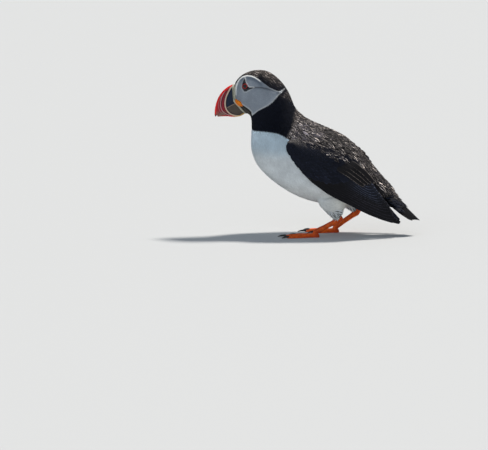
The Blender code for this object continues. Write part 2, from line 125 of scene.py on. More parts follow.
# %% [markdown]
# ## Helpers for node trees
# A tree of nodes is a sum written out in boxes. A `Wire` stands for the output of a node, so
# that `a * b + c` adds the two math nodes and links them. `put` adds any other node. Some
# nodes keep one output for each kind of value, and the wire then takes the one in use.


# %% Wires between nodes
class Wire:
    """The output of a node."""

    def __init__(self, node, key=None):
        self.node, self.key = node, key

    def __getitem__(self, key):
        return Wire(self.node, key)

    @property
    def socket(self):
        outputs = self.node.outputs
        return next(s for s in outputs if s.enabled) if self.key is None else outputs[self.key]

    def maths(self, operation, *others):
        kind = "ShaderNodeVectorMath" if self.socket.type == "VECTOR" else "ShaderNodeMath"
        return put(self.node.id_data, kind, dict(enumerate((self, *others))), operation=operation)

    def __add__(self, other):
        return self.maths("ADD", other)

    def __sub__(self, other):
        return self.maths("SUBTRACT", other)

    def __mul__(self, other):
        return self.maths("MULTIPLY", other)

    def scaled(self, size):
        """A vector times a number."""
        return put(self.node.id_data, "ShaderNodeVectorMath", {0: self, "Scale": size}, operation="SCALE")

    def stepped(self, low, high, out_low=0.0, out_high=1.0):
        """A smooth step from one value to another."""
        ends = {"Value": self, "From Min": low, "From Max": high, "To Min": out_low, "To Max": out_high}
        return put(self.node.id_data, "ShaderNodeMapRange", ends, interpolation_type="SMOOTHSTEP")


def feed(node, inputs):
    """Sets a node's inputs to plain values or links wires to them."""
    for key, value in inputs.items():
        if isinstance(value, Wire):
            node.id_data.links.new(value.socket, node.inputs[key])
        else:
            node.inputs[key].default_value = value


def put(tree, kind, inputs=None, **settings):
    """Adds a node with its settings and inputs."""
    node = tree.nodes.new(kind)
    for name, value in settings.items():
        setattr(node, name, value)
    feed(node, inputs or {})
    return Wire(node)


# %% [markdown]
# Every finish on the bird starts the same way: a new material whose colour is read from the
# `tint` of the mesh, with noise measured on the piece itself.


# %% Helpers for finishes
def new_finish(name):
    """A new material, with its node tree and its shader."""
    made = bpy.data.materials.new(name)
    made.use_nodes = True
    return made, made.node_tree, made.node_tree.nodes["Principled BSDF"]


def read(tree, name):
    """An attribute of the mesh."""
    return put(tree, "ShaderNodeAttribute", attribute_name=name)


def noise(tree, scale, detail, roughness=0.5):
    """Cloudy values from 0 to 1, measured on the piece itself."""
    where = {"Vector": put(tree, "ShaderNodeTexCoord")["Object"]}
    look = {"Scale": scale, "Detail": detail, "Roughness": roughness}
    return put(tree, "ShaderNodeTexNoise", {**where, **look})["Fac"]


def blended(tree, share, first, second, how="MIX"):
    """Mixes two colours."""
    return put(tree, "ShaderNodeMix", {0: share, 6: first, 7: second}, data_type="RGBA", blend_type=how)[2]


def dimmed(tree, colour, level):
    """A colour times a grey level."""
    grey = put(tree, "ShaderNodeCombineColor", {0: level, 1: level, 2: level})
    return blended(tree, 1.0, colour, grey, "MULTIPLY")


# %% [markdown]
# ## Helpers for meshes
# Meshes are read and written as whole arrays, which is far quicker than point by point.
# Whatever a feather needs to know, such as its length or its colour, is an attribute. The
# names below have kinds of their own, and all others are plain numbers.

# %% Read and write meshes
FIELDS = {"FLOAT": ("value", 1), "INT": ("value", 1), "FLOAT2": ("vector", 2)}
FIELDS |= {"FLOAT_VECTOR": ("vector", 3), "FLOAT_COLOR": ("color", 4)}
KINDS = {
    **dict.fromkeys(("tint", "fringe"), "FLOAT_COLOR"),
    **dict.fromkeys(("outward", "along", "vane", "place"), "FLOAT_VECTOR"),
    **dict.fromkeys(("pick", "order"), "INT"),
    "OFBake": "FLOAT2",
}


def triples(items, field):
    found = np.empty(len(items) * 3, np.float32)
    items.foreach_get(field, found)
    return found.reshape(-1, 3).astype(float)


def places(mesh):
    return triples(mesh.vertices, "co")


def outward(mesh):
    return triples(mesh.vertex_normals, "vector")


def move(mesh, points):
    mesh.vertices.foreach_set("co", np.asarray(points, np.float32).ravel())
    mesh.update()


def note(mesh, **notes):
    """Writes attributes, one value for all points or one for each. Colours go without alpha."""
    for name, values in notes.items():
        kind = KINDS.get(name, "FLOAT")
        field, size = FIELDS[kind]
        held = mesh.attributes.get(name) or mesh.attributes.new(name, kind, "POINT")
        values = np.asarray(values, np.int32 if kind == "INT" else np.float32)
        if kind == "FLOAT_COLOR":
            values = np.insert(values, 3, 1.0, axis=-1)
        shape = (len(held.data), size) if size > 1 else len(held.data)
        held.data.foreach_set(field, np.broadcast_to(values, shape).ravel())


def noted(mesh, name):
    held = mesh.attributes[name]
    field, size = FIELDS[held.data_type]
    found = np.empty(len(held.data) * size, np.float32)
    held.data.foreach_get(field, found)
    return found.reshape(-1, size).astype(float) if size > 1 else found.astype(float)


# %% [markdown]
# New meshes come from arrays of points. Their faces are then turned outwards, either by
# asking which way a sheet looks, or, for a closed form, by letting the mesh tools decide.


# %% Make meshes
def new_mesh(name, points, faces=()):
    mesh = bpy.data.meshes.new(name)
    mesh.from_pydata(np.asarray(points, float).tolist(), [], list(faces))
    return mesh


def grid_faces(rows, columns, round_rows=False, round_columns=False):
    """Faces between the points of a grid. In a round grid the last meets the first."""

    def steps(count, closed):
        return [(i, (i + 1) % count) for i in range(count if closed else count - 1)]

    return [
        (r * columns + c, r * columns + d, s * columns + d, s * columns + c)
        for r, s in steps(rows, round_rows)
        for c, d in steps(columns, round_columns)
    ]


def facing(mesh, way):
    """Turns a sheet over if it does not look in a direction."""
    if (outward(mesh) @ np.array(way, float)).mean() < 0:
        mesh.flip_normals()
    return mesh


def closed_mesh(name, points, faces):
    """A mesh whose faces are turned outwards."""
    mesh = new_mesh(name, points, faces)
    work = bmesh.new()
    work.from_mesh(mesh)
    bmesh.ops.recalc_face_normals(work, faces=work.faces)
    work.to_mesh(mesh)
    work.free()
    return mesh


def settled(piece):
    """Turns the modified object into a plain mesh."""
    bpy.context.view_layer.update()
    graph = bpy.context.evaluated_depsgraph_get()
    mesh = bpy.data.meshes.new_from_object(
        piece.evaluated_get(graph), preserve_all_data_layers=True, depsgraph=graph
    )
    piece.modifiers.clear()
    piece.data = mesh
    return piece


def thickened(piece, thickness):
    """Gives a sheet a thickness, inwards, in mm."""
    solid = piece.modifiers.new("thickness", "SOLIDIFY")
    solid.thickness, solid.offset = thickness * MM, -1.0
    return settled(piece)


def shade(mesh, finish):
    mesh.materials.clear()
    mesh.materials.append(finish)
    mesh.shade_smooth()


def triangles(mesh):
    return sum(len(face.vertices) - 2 for face in mesh.polygons)


# %% [markdown]
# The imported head, neck and trunk have thin cuts between them. Grown a little, joined and
# remeshed with small voxels they become one closed skin, which is then smoothed.


# %% Fuse solids into one skin
def fused(name, nodes, grow, voxel, rounds):
    """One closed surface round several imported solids, lying `grow` outside them. Sizes in mm."""
    whole = bmesh.new()
    for node in nodes:
        part = bmesh.new()
        part.from_mesh(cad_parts[node].data)
        bmesh.ops.remove_doubles(part, verts=part.verts, dist=0.01 * MM)
        part.normal_update()
        for v in part.verts:
            v.co += v.normal * grow * MM
        passing = bpy.data.meshes.new("part")
        part.to_mesh(passing)
        whole.from_mesh(passing)
    mesh = bpy.data.meshes.new(name)
    whole.to_mesh(mesh)
    piece = shown(name, mesh)
    remesh = piece.modifiers.new("one surface", "REMESH")
    remesh.mode, remesh.voxel_size = "VOXEL", voxel * MM
    smooth = piece.modifiers.new("smooth", "SMOOTH")
    smooth.factor, smooth.iterations = 0.5, rounds
    keep_largest(settled(piece).data)
    return piece


def keep_largest(mesh):
    """Removes the small closed bubbles that a remesh leaves inside."""
    work = bmesh.new()
    work.from_mesh(mesh)
    left, shells = set(work.verts), []
    while left:
        edge = [left.pop()]
        shell = set(edge)
        while edge:
            near = {e.other_vert(v) for v in edge for e in v.link_edges} - shell
            shell |= near
            edge = list(near)
        left -= shell
        shells.append(shell)
    shells.sort(key=len)
    for shell in shells[:-1]:
        bmesh.ops.delete(work, geom=list(shell), context="VERTS")
    work.to_mesh(mesh)
    work.free()


# %% [markdown]
# A feather or a plate often asks where a surface is at a place seen from the side. A ray
# from far out on that side answers.


# %% Rays from the side
RAY_FROM = 0.2  # metres from the middle plane


def tree_of(mesh):
    return BVHTree.FromPolygons([v.co for v in mesh.vertices], [p.vertices for p in mesh.polygons])


def side_hit(tree, x, z, side):
    """Where a ray from the side meets a surface, and its normal. Both are None if it misses."""
    return tree.ray_cast(Vector((x * MM, side * RAY_FROM, z * MM)), Vector((0.0, -side, 0.0)))[:2]


def reach(tree, x, z, side, fallback=0.0):
    """How far a surface lies from the middle plane at a place in side view, in mm."""
    hit = side_hit(tree, x, z, side)[0]
    return abs(hit.y) / MM if hit else fallback


# %% [markdown]
# ## The bird's map
# The markings are lines and outlines in side view, in millimetres: the pale face, the edge
# between the black collar and the white breast, and the crease behind the eye. Each feather
# and each point of the skin asks the same functions for its colour, so the two always agree.

# %% The outlines of the markings
FACE = [
    (-96.2, 158), (-96.3, 164), (-96.1, 170), (-95.2, 175), (-93.6, 178.6), (-91, 182.4), (-87.2, 185.4),
    (-81.8, 187.1), (-76.5, 186.8), (-71.8, 185.1), (-67.6, 182.6), (-64.7, 180.4), (-60.6, 177.3),
    (-56, 174), (-51.4, 171.5), (-46.7, 169.4), (-43.9, 168.9), (-41.1, 169.9), (-37.8, 172),
    (-39.2, 169.6), (-41.6, 167.2), (-45, 164.6), (-47.8, 161), (-51.7, 156.8), (-56.9, 152.8),
    (-62.7, 149.7), (-68.6, 146.4), (-73.1, 142.7), (-75.8, 140.2), (-76.3, 144.9), (-79.9, 148.3),
    (-83.7, 150.8), (-86.8, 152.8), (-91, 156.5),
]
FACE_TOP = FACE[6:17]
TEMPLE = [(-66, 181.5), *FACE[12:16], FACE[17]]
CHEEK_LINE = [*FACE[28:32], (-88, 153.8)]
CHIN_STRIP = [(-90, 155), *FACE[32:28:-1], (-75.4, 140), (-79, 137.6), (-84, 137.6), (-93, 148)]
CREASE = [
    (-76.4, 172.6), (-74.4, 173), (-70.9, 173.6), (-66.3, 173.6), (-61.7, 172.8), (-57.1, 171.9),
    (-52.5, 170.6), (-47.9, 169),
]
EYE_DIAMOND = [
    (-84.3, 183.6), (-86, 180.2), (-87.3, 176.8), (-87.3, 172.6), (-84.8, 168.8), (-82.1, 168.9),
    (-79.7, 170.6), (-76.6, 172.1), (-73.9, 173.2), (-76.8, 173.6), (-79.3, 173.9), (-80.7, 175.6),
    (-82.2, 177.7), (-83.4, 179.7),
]
BILL_CORNERS = [(-97.6, 177), (-95.9, 156.6), (-83, 141.3)]
# Everything above this line is dark: the collar, the mantle and the rump.
DARK_EDGE = [
    (-90, 126), (-78, 124.6), (-74, 122.5), (-66, 122.7), (-57, 122.4), (-47.3, 121.3), (-42.6, 120.1),
    (-39, 118.4), (-36, 117), (-29, 112), (0, 84), (40, 62), (68, 44), (92, 32), (125, 5),
]
NECK_BACK = [
    (-32, 182), (-30, 170), (-24, 160), (-24, 150), (-26.5, 142), (-28.5, 128), (-34, 118), (-32, 114),
]
# The long pale-edged row of shoulder feathers that hangs over the wing, also painted
# brighter as a sunlit highlight.
SCAPULARS = [(-22, 110), (-12, 108), (-1, 104.6), (12, 99), (27, 94.5), (43, 89.5), (54, 80)]
EYE_AT = (-83.8, 174.7)
ROSETTE_CENTRE, ROSETTE_HALF, ROSETTE_TURN = (-91.5, 155.0), (6.4, 2.8), -39.0  # mm, mm, degrees
print("points round the face:", len(FACE))

# %% [markdown]
# Colours are shares of red, green and blue in linear light. No feather is quite black or
# white: black plumage leans to blue, and the worn edges on the back to straw.


# %% Colours of the plumage
def rgb(*shares):
    return np.array(shares)


WHITE = rgb(0.70, 0.735, 0.75)
FACE_GREY = rgb(0.300, 0.335, 0.385)
# The pale rim of the face, painted brighter than the white plumage as a sunlit highlight.
FACE_RIM = rgb(0.93, 0.92, 0.89)
BLACK = rgb(0.0050, 0.0062, 0.0115)
# Worn brown of the crown, together with a painted sunlit sheen.
CROWN_WORN_AND_SHEEN = rgb(0.060, 0.050, 0.047)
MANTLE = rgb(0.015, 0.0135, 0.016)
FRINGE = rgb(0.66, 0.575, 0.515)  # the worn edge of a mantle feather
CHIN = rgb(0.060, 0.055, 0.050)
CERE = rgb(0.30, 0.26, 0.15)  # bare skin behind the bill
EYE_SKIN = rgb(0.012, 0.012, 0.015)
print("white over mantle:", round((WHITE / MANTLE).mean()))

# %% [markdown]
# Two measures in side view are enough for the markings: how far a place is from a line, and
# whether it lies inside an outline.


# %% Distances in side view
def side_view(points):
    return points[:, (0, 2)] / MM


def from_line(xz, line):
    """Distance from each place to a line of points."""
    best = np.full(len(xz), 1e9)
    for a, b in zip(np.array(line[:-1], float), np.array(line[1:], float)):
        run = b - a
        t = np.clip(((xz - a) @ run) / (run @ run), 0, 1)
        best = np.minimum(best, np.linalg.norm(xz - (a + t[:, None] * run), axis=1))
    return best


def inside(xz, outline):
    """Distance inside a closed outline, negative outside it."""
    closed = [*outline, outline[0]]
    odd = np.zeros(len(xz), bool)
    for (ax, az), (bx, bz) in zip(closed[:-1], closed[1:]):
        if az != bz:
            crosses = (az > xz[:, 1]) != (bz > xz[:, 1])
            odd ^= crosses & (xz[:, 0] < (bx - ax) * (xz[:, 1] - az) / (bz - az) + ax)
    return np.where(odd, 1, -1) * from_line(xz, closed)


def beyond(xz, first, second):
    """How far each place lies behind a line, towards the tail. The line runs upwards."""
    (ax, az), (bx, bz) = first, second
    length = math.hypot(bx - ax, bz - az)
    return ((xz[:, 0] - ax) * (bz - az) - (xz[:, 1] - az) * (bx - ax)) / length


def run_along(line):
    """How far each point of a line lies from its start."""
    return np.concatenate([[0], np.cumsum(np.linalg.norm(np.diff(line, axis=0), axis=1))])


def curved(line):
    """Cuts the corners of a line of points three times, which leaves it smooth."""
    points = np.array(line, float)
    for _ in range(3):
        before, following = points[:-1], points[1:]
        near, far = 0.75 * before + 0.25 * following, 0.25 * before + 0.75 * following
        cut = np.stack([near, far], 1).reshape(-1, 2)
        points = np.concatenate([points[:1], cut, points[-1:]])
    return points


print("the eye lies inside the face by, mm:", inside(np.array([EYE_AT]), FACE).round(1))

# %% [markdown]
# Feathers of two colours interlock where they meet, so an edge is a soft step and never a
# cut. A band and a bell do the same for thin lines.


# %% Soft steps and turns
def eased(value, low, high):
    """A smooth step from 0 at `low` to 1 at `high`, which may also be the smaller one."""
    t = np.clip((value - low) / (high - low), 0, 1)
    return t * t * (3 - 2 * t)


def band(distance, half, soft=0.35):
    """One near a line, falling to zero past `half` mm."""
    return 1 - eased(distance, half - soft, half + soft)


def bell(distance, wide):
    """One on a line, falling off like a bell."""
    return np.exp(-((distance / wide) ** 2))


def laid_over(base, colour, share):
    """Lays a colour over another, each place by its own share."""
    return base + (colour - base) * np.asarray(share)[:, None]


def turned(a, b, degrees):
    """The step (a, b) in side view, turned by an angle."""
    c, s = math.cos(math.radians(degrees)), math.sin(math.radians(degrees))
    return np.stack([a * c - b * s, a * s + b * c], -1)


# %% [markdown]
# The two longest lines are smoothed, and the edge of the dark plumage and the back of the
# neck become functions that any place can ask.

# %% Smooth the long lines
SMOOTH_CREASE, SMOOTH_EDGE = curved(CREASE), curved(DARK_EDGE)


def dark_edge(x):
    """Height of the edge between dark and white plumage."""
    return np.interp(x, *SMOOTH_EDGE.T)


def neck_back(z):
    """Where the back of the neck lies at a height."""
    x_at, z_at = np.array(NECK_BACK).T
    return np.interp(-z, -z_at, x_at)


print("points along the crease behind the eye:", len(SMOOTH_CREASE))

# %% [markdown]
# ## Plumage colours
# `tint` is a feather's own colour and `fringe` the colour of its worn edge, which is the
# same as the tint where the plumage is plain. The back carries feathers of two seasons. Old
# ones, worn and pale-edged, stand in patches and streaks, and along the shoulder row. On the
# shoulder and along that row they are also painted brighter as a sunlit highlight, and the
# crown's brown is partly a painted sunlit sheen.


# %% Colours of the upper parts
def clumps(points):
    """Streaks along the lie of the back, from -1 to 1, that gather worn feathers in patches."""
    x, y, z = (points / MM).T
    along, across = 0.8 * x - 0.6 * z, 0.6 * x + 0.8 * z
    slow = np.sin(0.62 * along + 1.3 * np.sin(0.8 * across + 0.5 * y))
    streaks = np.sin(2.1 * across + 1.6 * np.sin(0.47 * along + 0.9) + 0.6 * y)
    return 0.4 * slow + 0.6 * streaks * (0.65 + 0.35 * slow)


CROWN_LOW, CROWN_SLOPE = 183.0, 0.55  # the crown's lower edge falls towards the nape
# Middle of the shoulder's worn feathers and of its painted sunlit highlight.
WORN_LIT_SHOULDER = (-16.0, 120.0)


def crown_edge(x):
    return CROWN_LOW - CROWN_SLOPE * (x + 75.0)


def upper_colours(points, x, z):
    """Tint and fringe of the dark upper parts: plain collar, brown crown, fringed back, with painted
    sunlight.
    """
    xz = side_view(points)
    behind = eased(x - neck_back(z), -2.5, 2.5)
    temple = 0.08 + 0.92 * eased(from_line(xz, TEMPLE), 2.5, 9.0)
    # The crown's brown is partly worn feathers and partly a painted sunlit sheen.
    crown = eased(z - crown_edge(x), -5.0, 3.0) * temple * (1 - 0.5 * eased(x, -60.0, -46.0))
    patch = 0.40 + 2.0 * np.clip(clumps(points), 0, 1) ** 1.2
    # Shoulder and shoulder row: worn pale edges, also painted brighter as a sunlit highlight.
    shoulder_worn_and_lit = eased(np.linalg.norm((xz - WORN_LIT_SHOULDER) * (0.7, 1.0), axis=1), 20.0, 6.0)
    row = bell(from_line(xz, SCAPULARS), 3.2)
    back_worn_and_lit = behind * (0.70 + 0.30 * eased(z, 150.0, 130.0) + 0.75 * shoulder_worn_and_lit + 1.3 * row)
    worn = np.minimum(np.maximum(back_worn_and_lit, crown * 0.62) * patch, 0.95 + 0.5 * row)
    back = MANTLE * (1 + (3.6 * shoulder_worn_and_lit + 1.5 * row) * patch)[:, None]
    tint = laid_over(BLACK, back, behind)
    tint = tint + (CROWN_WORN_AND_SHEEN * patch[:, None] - BLACK) * (crown * (1 - behind))[:, None]
    return tint, BLACK * 1.3 + (FRINGE - BLACK) * worn[:, None]


# %% [markdown]
# The face is grey with a white rim along its top, painted brighter than the white plumage as
# a sunlit highlight. Painted shade darkens the crease behind the eye and the slope above it,
# under the rim, and dark skin shows in a diamond round the eye.


# %% Colours of the face
def face_colour(xz, x, z, face):
    """The grey face. `face` is the distance inside its outline."""
    # Painted shadow under the white rim, on the slope above the crease.
    top_slope = bell(from_line(xz, FACE_TOP) - 2.6, 2.8)
    middle = np.maximum(eased(-x, 60.0, 68.0), eased(x, -50.0, -45.0))
    rim_shadow = 0.50 * top_slope * (0.25 + 0.75 * middle)
    grey = FACE_GREY * 0.93 * (1 - rim_shadow[:, None] * rgb(1.08, 1.0, 0.90))
    rim_wide = 1.35 + 0.75 * eased(-x, 90.0, 94.0)
    rim_here = eased(z, 156.0, 162.0) * eased(-x, 64.5, 67.5) * (z > 146.0 - 1.2 * (x + 80.0))
    # The white rim along the top carries the painted sunlit highlight.
    top_rim = eased(rim_wide + 0.35 - face, 0.0, 0.7) * rim_here
    low_rim = 0.45 * bell(face, 1.0) * (1 - eased(z, 170.0, 176.0))
    cheek = 0.35 * bell(from_line(xz, CHEEK_LINE), 0.9)
    grey = laid_over(grey, FACE_RIM, np.maximum(np.maximum(top_rim, low_rim), cheek))
    # Painted shade in the crease behind the eye.
    crease_shade = bell(from_line(xz, SMOOTH_CREASE), 0.8) * eased(-x, 46.0, 60.0)
    grey = grey * (1 - 0.62 * crease_shade)[:, None]
    outside = -inside(xz, EYE_DIAMOND)
    glow = bell(outside - 0.7, 0.5) * (0.25 + 0.45 * (z > 173.5) * (x > -84.5))
    return laid_over(laid_over(grey, FACE_RIM, glow), EYE_SKIN, 1 - eased(outside, -0.2, 0.2))


# %% [markdown]
# White plumage carries painted light: painted cool shade high on the breast, painted warm
# light from the ground low on the belly, and painted warm shade under its rear. The rest of
# the map is then laid over it, one marking after the other.


# %% Colours at any place
def underparts(x, z):
    # Painted light: cool shade high on the breast, warm light from the ground low on the belly, and darker
    # warm shade under its rear.
    cool_shade = eased(z, 88.0, 106.0)[:, None]
    low = eased(z, 72.0, 50.0)[:, None]
    warm_under_shade = eased(x, 0.0, 35.0)[:, None] * low
    white = WHITE * (1 - cool_shade * rgb(0.19, 0.08, 0.0)) * (1 + low * rgb(0.15, 0.12, 0.09))
    return white * (1 - warm_under_shade * rgb(0.12, 0.14, 0.19))


def plumage(points):
    """Tint and fringe of the plumage at each place."""
    xz = side_view(points)
    x, z = xz.T
    white, dark = underparts(x, z), eased(z - dark_edge(x), -0.4, 0.4)
    upper, upper_fringe = upper_colours(points, x, z)
    face = inside(xz, FACE)
    grey, on_face = face_colour(xz, x, z, face), eased(face, -0.25, 0.25)
    chin = eased(inside(xz, CHIN_STRIP), -0.3, 0.3) * (1 - on_face)
    chin_tint = CHIN * (0.25 + 0.75 * eased(from_line(xz, CHEEK_LINE), 0.8, 2.6))[:, None]
    cere = eased(-from_line(xz, BILL_CORNERS), -1.2, -0.6) * (z < 179)
    tint, fringe = white, white
    for share, own, edge in (
        (dark, upper, upper_fringe),
        (on_face, grey, grey * 1.08),
        (chin, chin_tint, chin_tint * 1.4),
        (cere, CERE, CERE),
    ):
        tint, fringe = laid_over(tint, own, share), laid_over(fringe, edge, share)
    return tint, fringe


# %% [markdown]
# Feathers differ in tone from one to the next. They differ little on the face and breast, and
# much on the crown and the mantle, where last year's worn feathers are mixed with new ones.

# %% Unevenness of the plumage
UNEVEN_FACE, UNEVEN_WHITE, UNEVEN_BACK, UNEVEN_COLLAR = 0.035, 0.03, 0.46, 0.16


def unevenness(points):
    xz = side_view(points)
    x, z = xz.T
    worn = (x > neck_back(z) - 3.0) | (z > crown_edge(x) - 3.0)
    dark = np.where(worn, UNEVEN_BACK, UNEVEN_COLLAR)
    plain = np.where(z > dark_edge(x), dark, UNEVEN_WHITE)
    return np.where(inside(xz, FACE) > 0, UNEVEN_FACE, plain)


# %% [markdown]
# Feathers point from the bill to the tail, up over the forehead, down the neck and along the
# belly. A few arrows say which way the coat lies, and each place takes the weighted mean of
# the arrows near it. An arrow is a place in side view and a direction.

# %% The lie of the coat
LIE = np.array([
    # crown, nape and back
    (-94, 182, 0.75, 0.66), (-84, 190, 0.93, 0.36), (-72, 193, 1, 0), (-58, 191, 0.86, -0.5),
    (-45, 182, 0.66, -0.75), (-36, 170, 0.5, -0.86), (-30, 155, 0.35, -0.94), (-22, 142, 0.6, -0.8),
    (-8, 133, 0.85, -0.53), (20, 121, 0.88, -0.47), (40, 108, 0.78, -0.62), (60, 86, 0.68, -0.73),
    (80, 63, 0.68, -0.73), (95, 45, 0.72, -0.69),
    # face
    (-93, 168, 0.92, -0.38), (-88, 178, 0.95, 0.3), (-75, 180, 1, -0.02), (-75, 165, 0.93, -0.36),
    (-60, 165, 0.86, -0.5), (-48, 168, 0.76, -0.65),
    # throat, neck and breast
    (-85, 148, 0.72, -0.7), (-78, 140, 0.4, -0.92), (-65, 150, 0.7, -0.71), (-77, 125, 0.08, -1),
    (-60, 135, 0.3, -0.95), (-45, 145, 0.34, -0.94), (-78, 105, 0.06, -1), (-55, 115, 0.25, -0.97),
    (-73, 87, 0.38, -0.92), (-50, 95, 0.45, -0.9),
    # belly, flank and thigh
    (-60, 70, 0.6, -0.8), (-38, 52, 0.78, -0.62), (-35, 75, 0.66, -0.75), (-10, 40, 0.95, -0.3),
    (-5, 60, 0.84, -0.54), (20, 36, 1, -0.05), (20, 60, 0.86, -0.5), (45, 35, 0.98, -0.15),
    (70, 38, 0.9, -0.4), (10, 90, 0.8, -0.6), (40, 80, 0.74, -0.67), (14, 30, 0.45, -0.89),
    (24, 24, 0.42, -0.9), (38, 30, 0.5, -0.86),
])


def unit(vectors):
    return vectors / np.maximum(np.linalg.norm(vectors, axis=1, keepdims=True), 1e-6)


def along_surface(ways, normals):
    """Unit directions with their part across the surface taken out."""
    return unit(ways - normals * (ways * normals).sum(1, keepdims=True))


def lie(points, normals):
    """Unit direction of the coat at each place, along the surface."""
    away = np.linalg.norm(side_view(points)[:, None, :] - LIE[None, :, :2], axis=2)
    weight = 1.0 / (away**3 + 20.0)
    flow = (weight @ LIE[:, 2:]) / weight.sum(1, keepdims=True)
    return along_surface(np.insert(flow, 1, 0.0, axis=1), normals)


print("arrows that lay the coat:", len(LIE))

# %% [markdown]
# ## The skin
# One surface under the plumage, as deep inside the outline as the coat is thick. A smooth
# dome replaces the bulges of the eye and its plates, by fitting a curved sheet to the ring
# of skin round them.

# %% Make the skin
FLESH = ["head", "neck", "trunk", "thigh_left", "thigh_right"]
IN_SOCKETS = [f"{part}_{word}" for part in ("eye", "eye_horn", "eye_bar", "gape") for _, word in SIDES]
SKIN_GROW, SKIN_VOXEL, SKIN_ROUNDS = 0.6, 1.15, 10  # mm, mm, rounds of smoothing
EYE_ROOM = 9.0  # mm round the eye that the dome fills


def coat_depth(points):
    """How thick the coat is, in mm: thin on the face, thicker on the body."""
    xz = side_view(points)
    body = eased(beyond(xz, (-77.0, 128.0), (-40.0, 176.0)), -4.0, 22.0)
    leg = 1 - eased(xz[:, 1], 24.0, 36.0)
    return 0.50 + 0.75 * body * (1 - 0.5 * leg)


def dome_over_eye(points, side):
    off = side_view(points) - EYE_AT
    away = np.linalg.norm(off, axis=1)
    near = (points[:, 1] * side > 5 * MM) & (away < EYE_ROOM + 5)
    powers = ((0, 0), (1, 0), (0, 1), (2, 0), (1, 1), (0, 2))
    terms = np.stack([off[:, 0] ** a * off[:, 1] ** b for a, b in powers], 1)
    ring = near & (away > EYE_ROOM - 0.5)
    fit = np.linalg.lstsq(terms[ring], points[ring, 1], rcond=None)[0]
    share = np.where(near, 1 - eased(away, EYE_ROOM - 3, EYE_ROOM + 1), 0.0)
    points[:, 1] += (terms @ fit - points[:, 1]) * share


skin = fused("skin", FLESH + IN_SOCKETS, SKIN_GROW, SKIN_VOXEL, SKIN_ROUNDS)
points = places(skin.data)
for side, _ in SIDES:
    dome_over_eye(points, side)
move(skin.data, points)
print("skin points:", len(points))

# %% [markdown]
# The crease behind the eye is pressed into the skin, so that the feathers over it dip too.
# The skin is then unwrapped, and its map is where each feather later finds its own place.

# %% Press in the crease and unwrap the skin
BAKE_MAP = "OFBake"
ISLAND_GAP, STEEPEST = 0.002, 66  # of the map's width, degrees


def unwrapped(piece):
    """Unwraps a piece by the way its faces look, and names the map."""
    piece.data.uv_layers.new(name=BAKE_MAP)
    bpy.ops.object.select_all(action="DESELECT")
    piece.select_set(True)
    bpy.context.view_layer.objects.active = piece
    bpy.ops.object.mode_set(mode="EDIT")
    bpy.ops.mesh.select_all(action="SELECT")
    bpy.ops.uv.smart_project(angle_limit=math.radians(STEEPEST), island_margin=ISLAND_GAP)
    bpy.ops.object.mode_set(mode="OBJECT")


crease_dip = 0.75 * bell(from_line(side_view(points), SMOOTH_CREASE), 1.3)
depth = coat_depth(points) + SKIN_GROW - 0.15 + crease_dip
move(skin.data, points - outward(skin.data) * (depth * MM)[:, None])
unwrapped(skin)
skin_places, skin_ways = places(skin.data), outward(skin.data)
skin_tint = plumage(skin_places)[0]
PLAIN_VANE = (0.2, 0.5, 0.0)  # a place on the vane with no shaft, rim or tip
note(skin.data, outward=skin_ways, tint=skin_tint, fringe=skin_tint, vane=PLAIN_VANE)
print("skin triangles:", triangles(skin.data))

# %% [markdown]
# ## The finish of a feather
# Every feather has a shaft with fine barbs slanting off it, and many have a worn, paler edge.
# The finish reads where on the vane it is (`vane`), and its colours (`tint`, `fringe`), so
# one material serves the whole bird. The barbs are a slanting wave, in colour and in bump.


# %% Make the plumage finish
def plumage_finish(name, roughness, barbs, shine, edge, tip):
    """`edge` and `tip` say where the worn rim starts, across the vane and along it."""
    made, tree, shader = new_finish(name)
    where = put(tree, "ShaderNodeSeparateXYZ", {0: read(tree, "vane")["Vector"]})
    across, along = where["X"].maths("ABSOLUTE"), where["Y"]
    patches, ragged = noise(tree, 55.0, 4.0, 0.6), noise(tree, 900.0, 3.0, 0.7)
    side_rim = read(tree, "rim")["Fac"].stepped(*edge) * along.stepped(0.15, 0.6)
    rim = side_rim.maths("MAXIMUM", along.stepped(tip, 1.0)) * ragged.stepped(0.36, 0.58)
    colour = blended(tree, rim, read(tree, "tint")["Color"], read(tree, "fringe")["Color"])
    wave = (along * barbs - across * (barbs * 0.45)).maths("SINE")
    root = along.stepped(0.0, 0.55, 0.86, 1.0)
    level = (wave * 0.05 + patches.stepped(0.3, 0.7, 0.88, 1.08)) * root
    relief = wave * 0.5 + (across.stepped(0.035, 0.0) + ragged)
    bump = put(tree, "ShaderNodeBump", {"Strength": 0.35, "Distance": 0.00012, "Height": relief})
    rough = patches.stepped(0.3, 0.7, roughness - 0.06, roughness + 0.06)
    feed(shader, {"Base Color": dimmed(tree, colour, level), "Normal": bump})
    feed(shader, {"Roughness": rough, "Specular IOR Level": shine})
    print("finish:", name, len(tree.nodes), "nodes")
    return made


soft_plumage = plumage_finish("soft plumage", 0.82, 55.0, 0.10, edge=(0.4, 1.1), tip=0.55)
scaly_plumage = plumage_finish("fringed plumage", 0.70, 90.0, 0.12, edge=(0.45, 0.85), tip=0.82)
sleek_plumage = plumage_finish("sleek quills", 0.52, 420.0, 0.13, edge=(0.82, 1.0), tip=0.985)
shade(skin.data, soft_plumage)

# %% [markdown]
# ## Vanes
# A small body feather is a rounded leaf with a few split barbs at its tip. Three slightly
# different ones are enough, because size, turn and colour vary from feather to feather. Its
# own coordinates are kept in `vane`: across from -0.5 to 0.5, and along from 0 to 1.

# %% Model the body feathers
VANE_KINDS, SPLITS = 3, 0.05  # number, and depth of the splits as a share of the length


def vane_object(name, flat, kept, rims, rows, columns):
    """A flat vane. `kept` is what its points remember: across, along and arch."""
    mesh = new_mesh(name, flat, grid_faces(rows + 1, columns + 1))
    note(mesh, vane=kept, rim=rims)
    return bpy.data.objects.new(name, mesh)


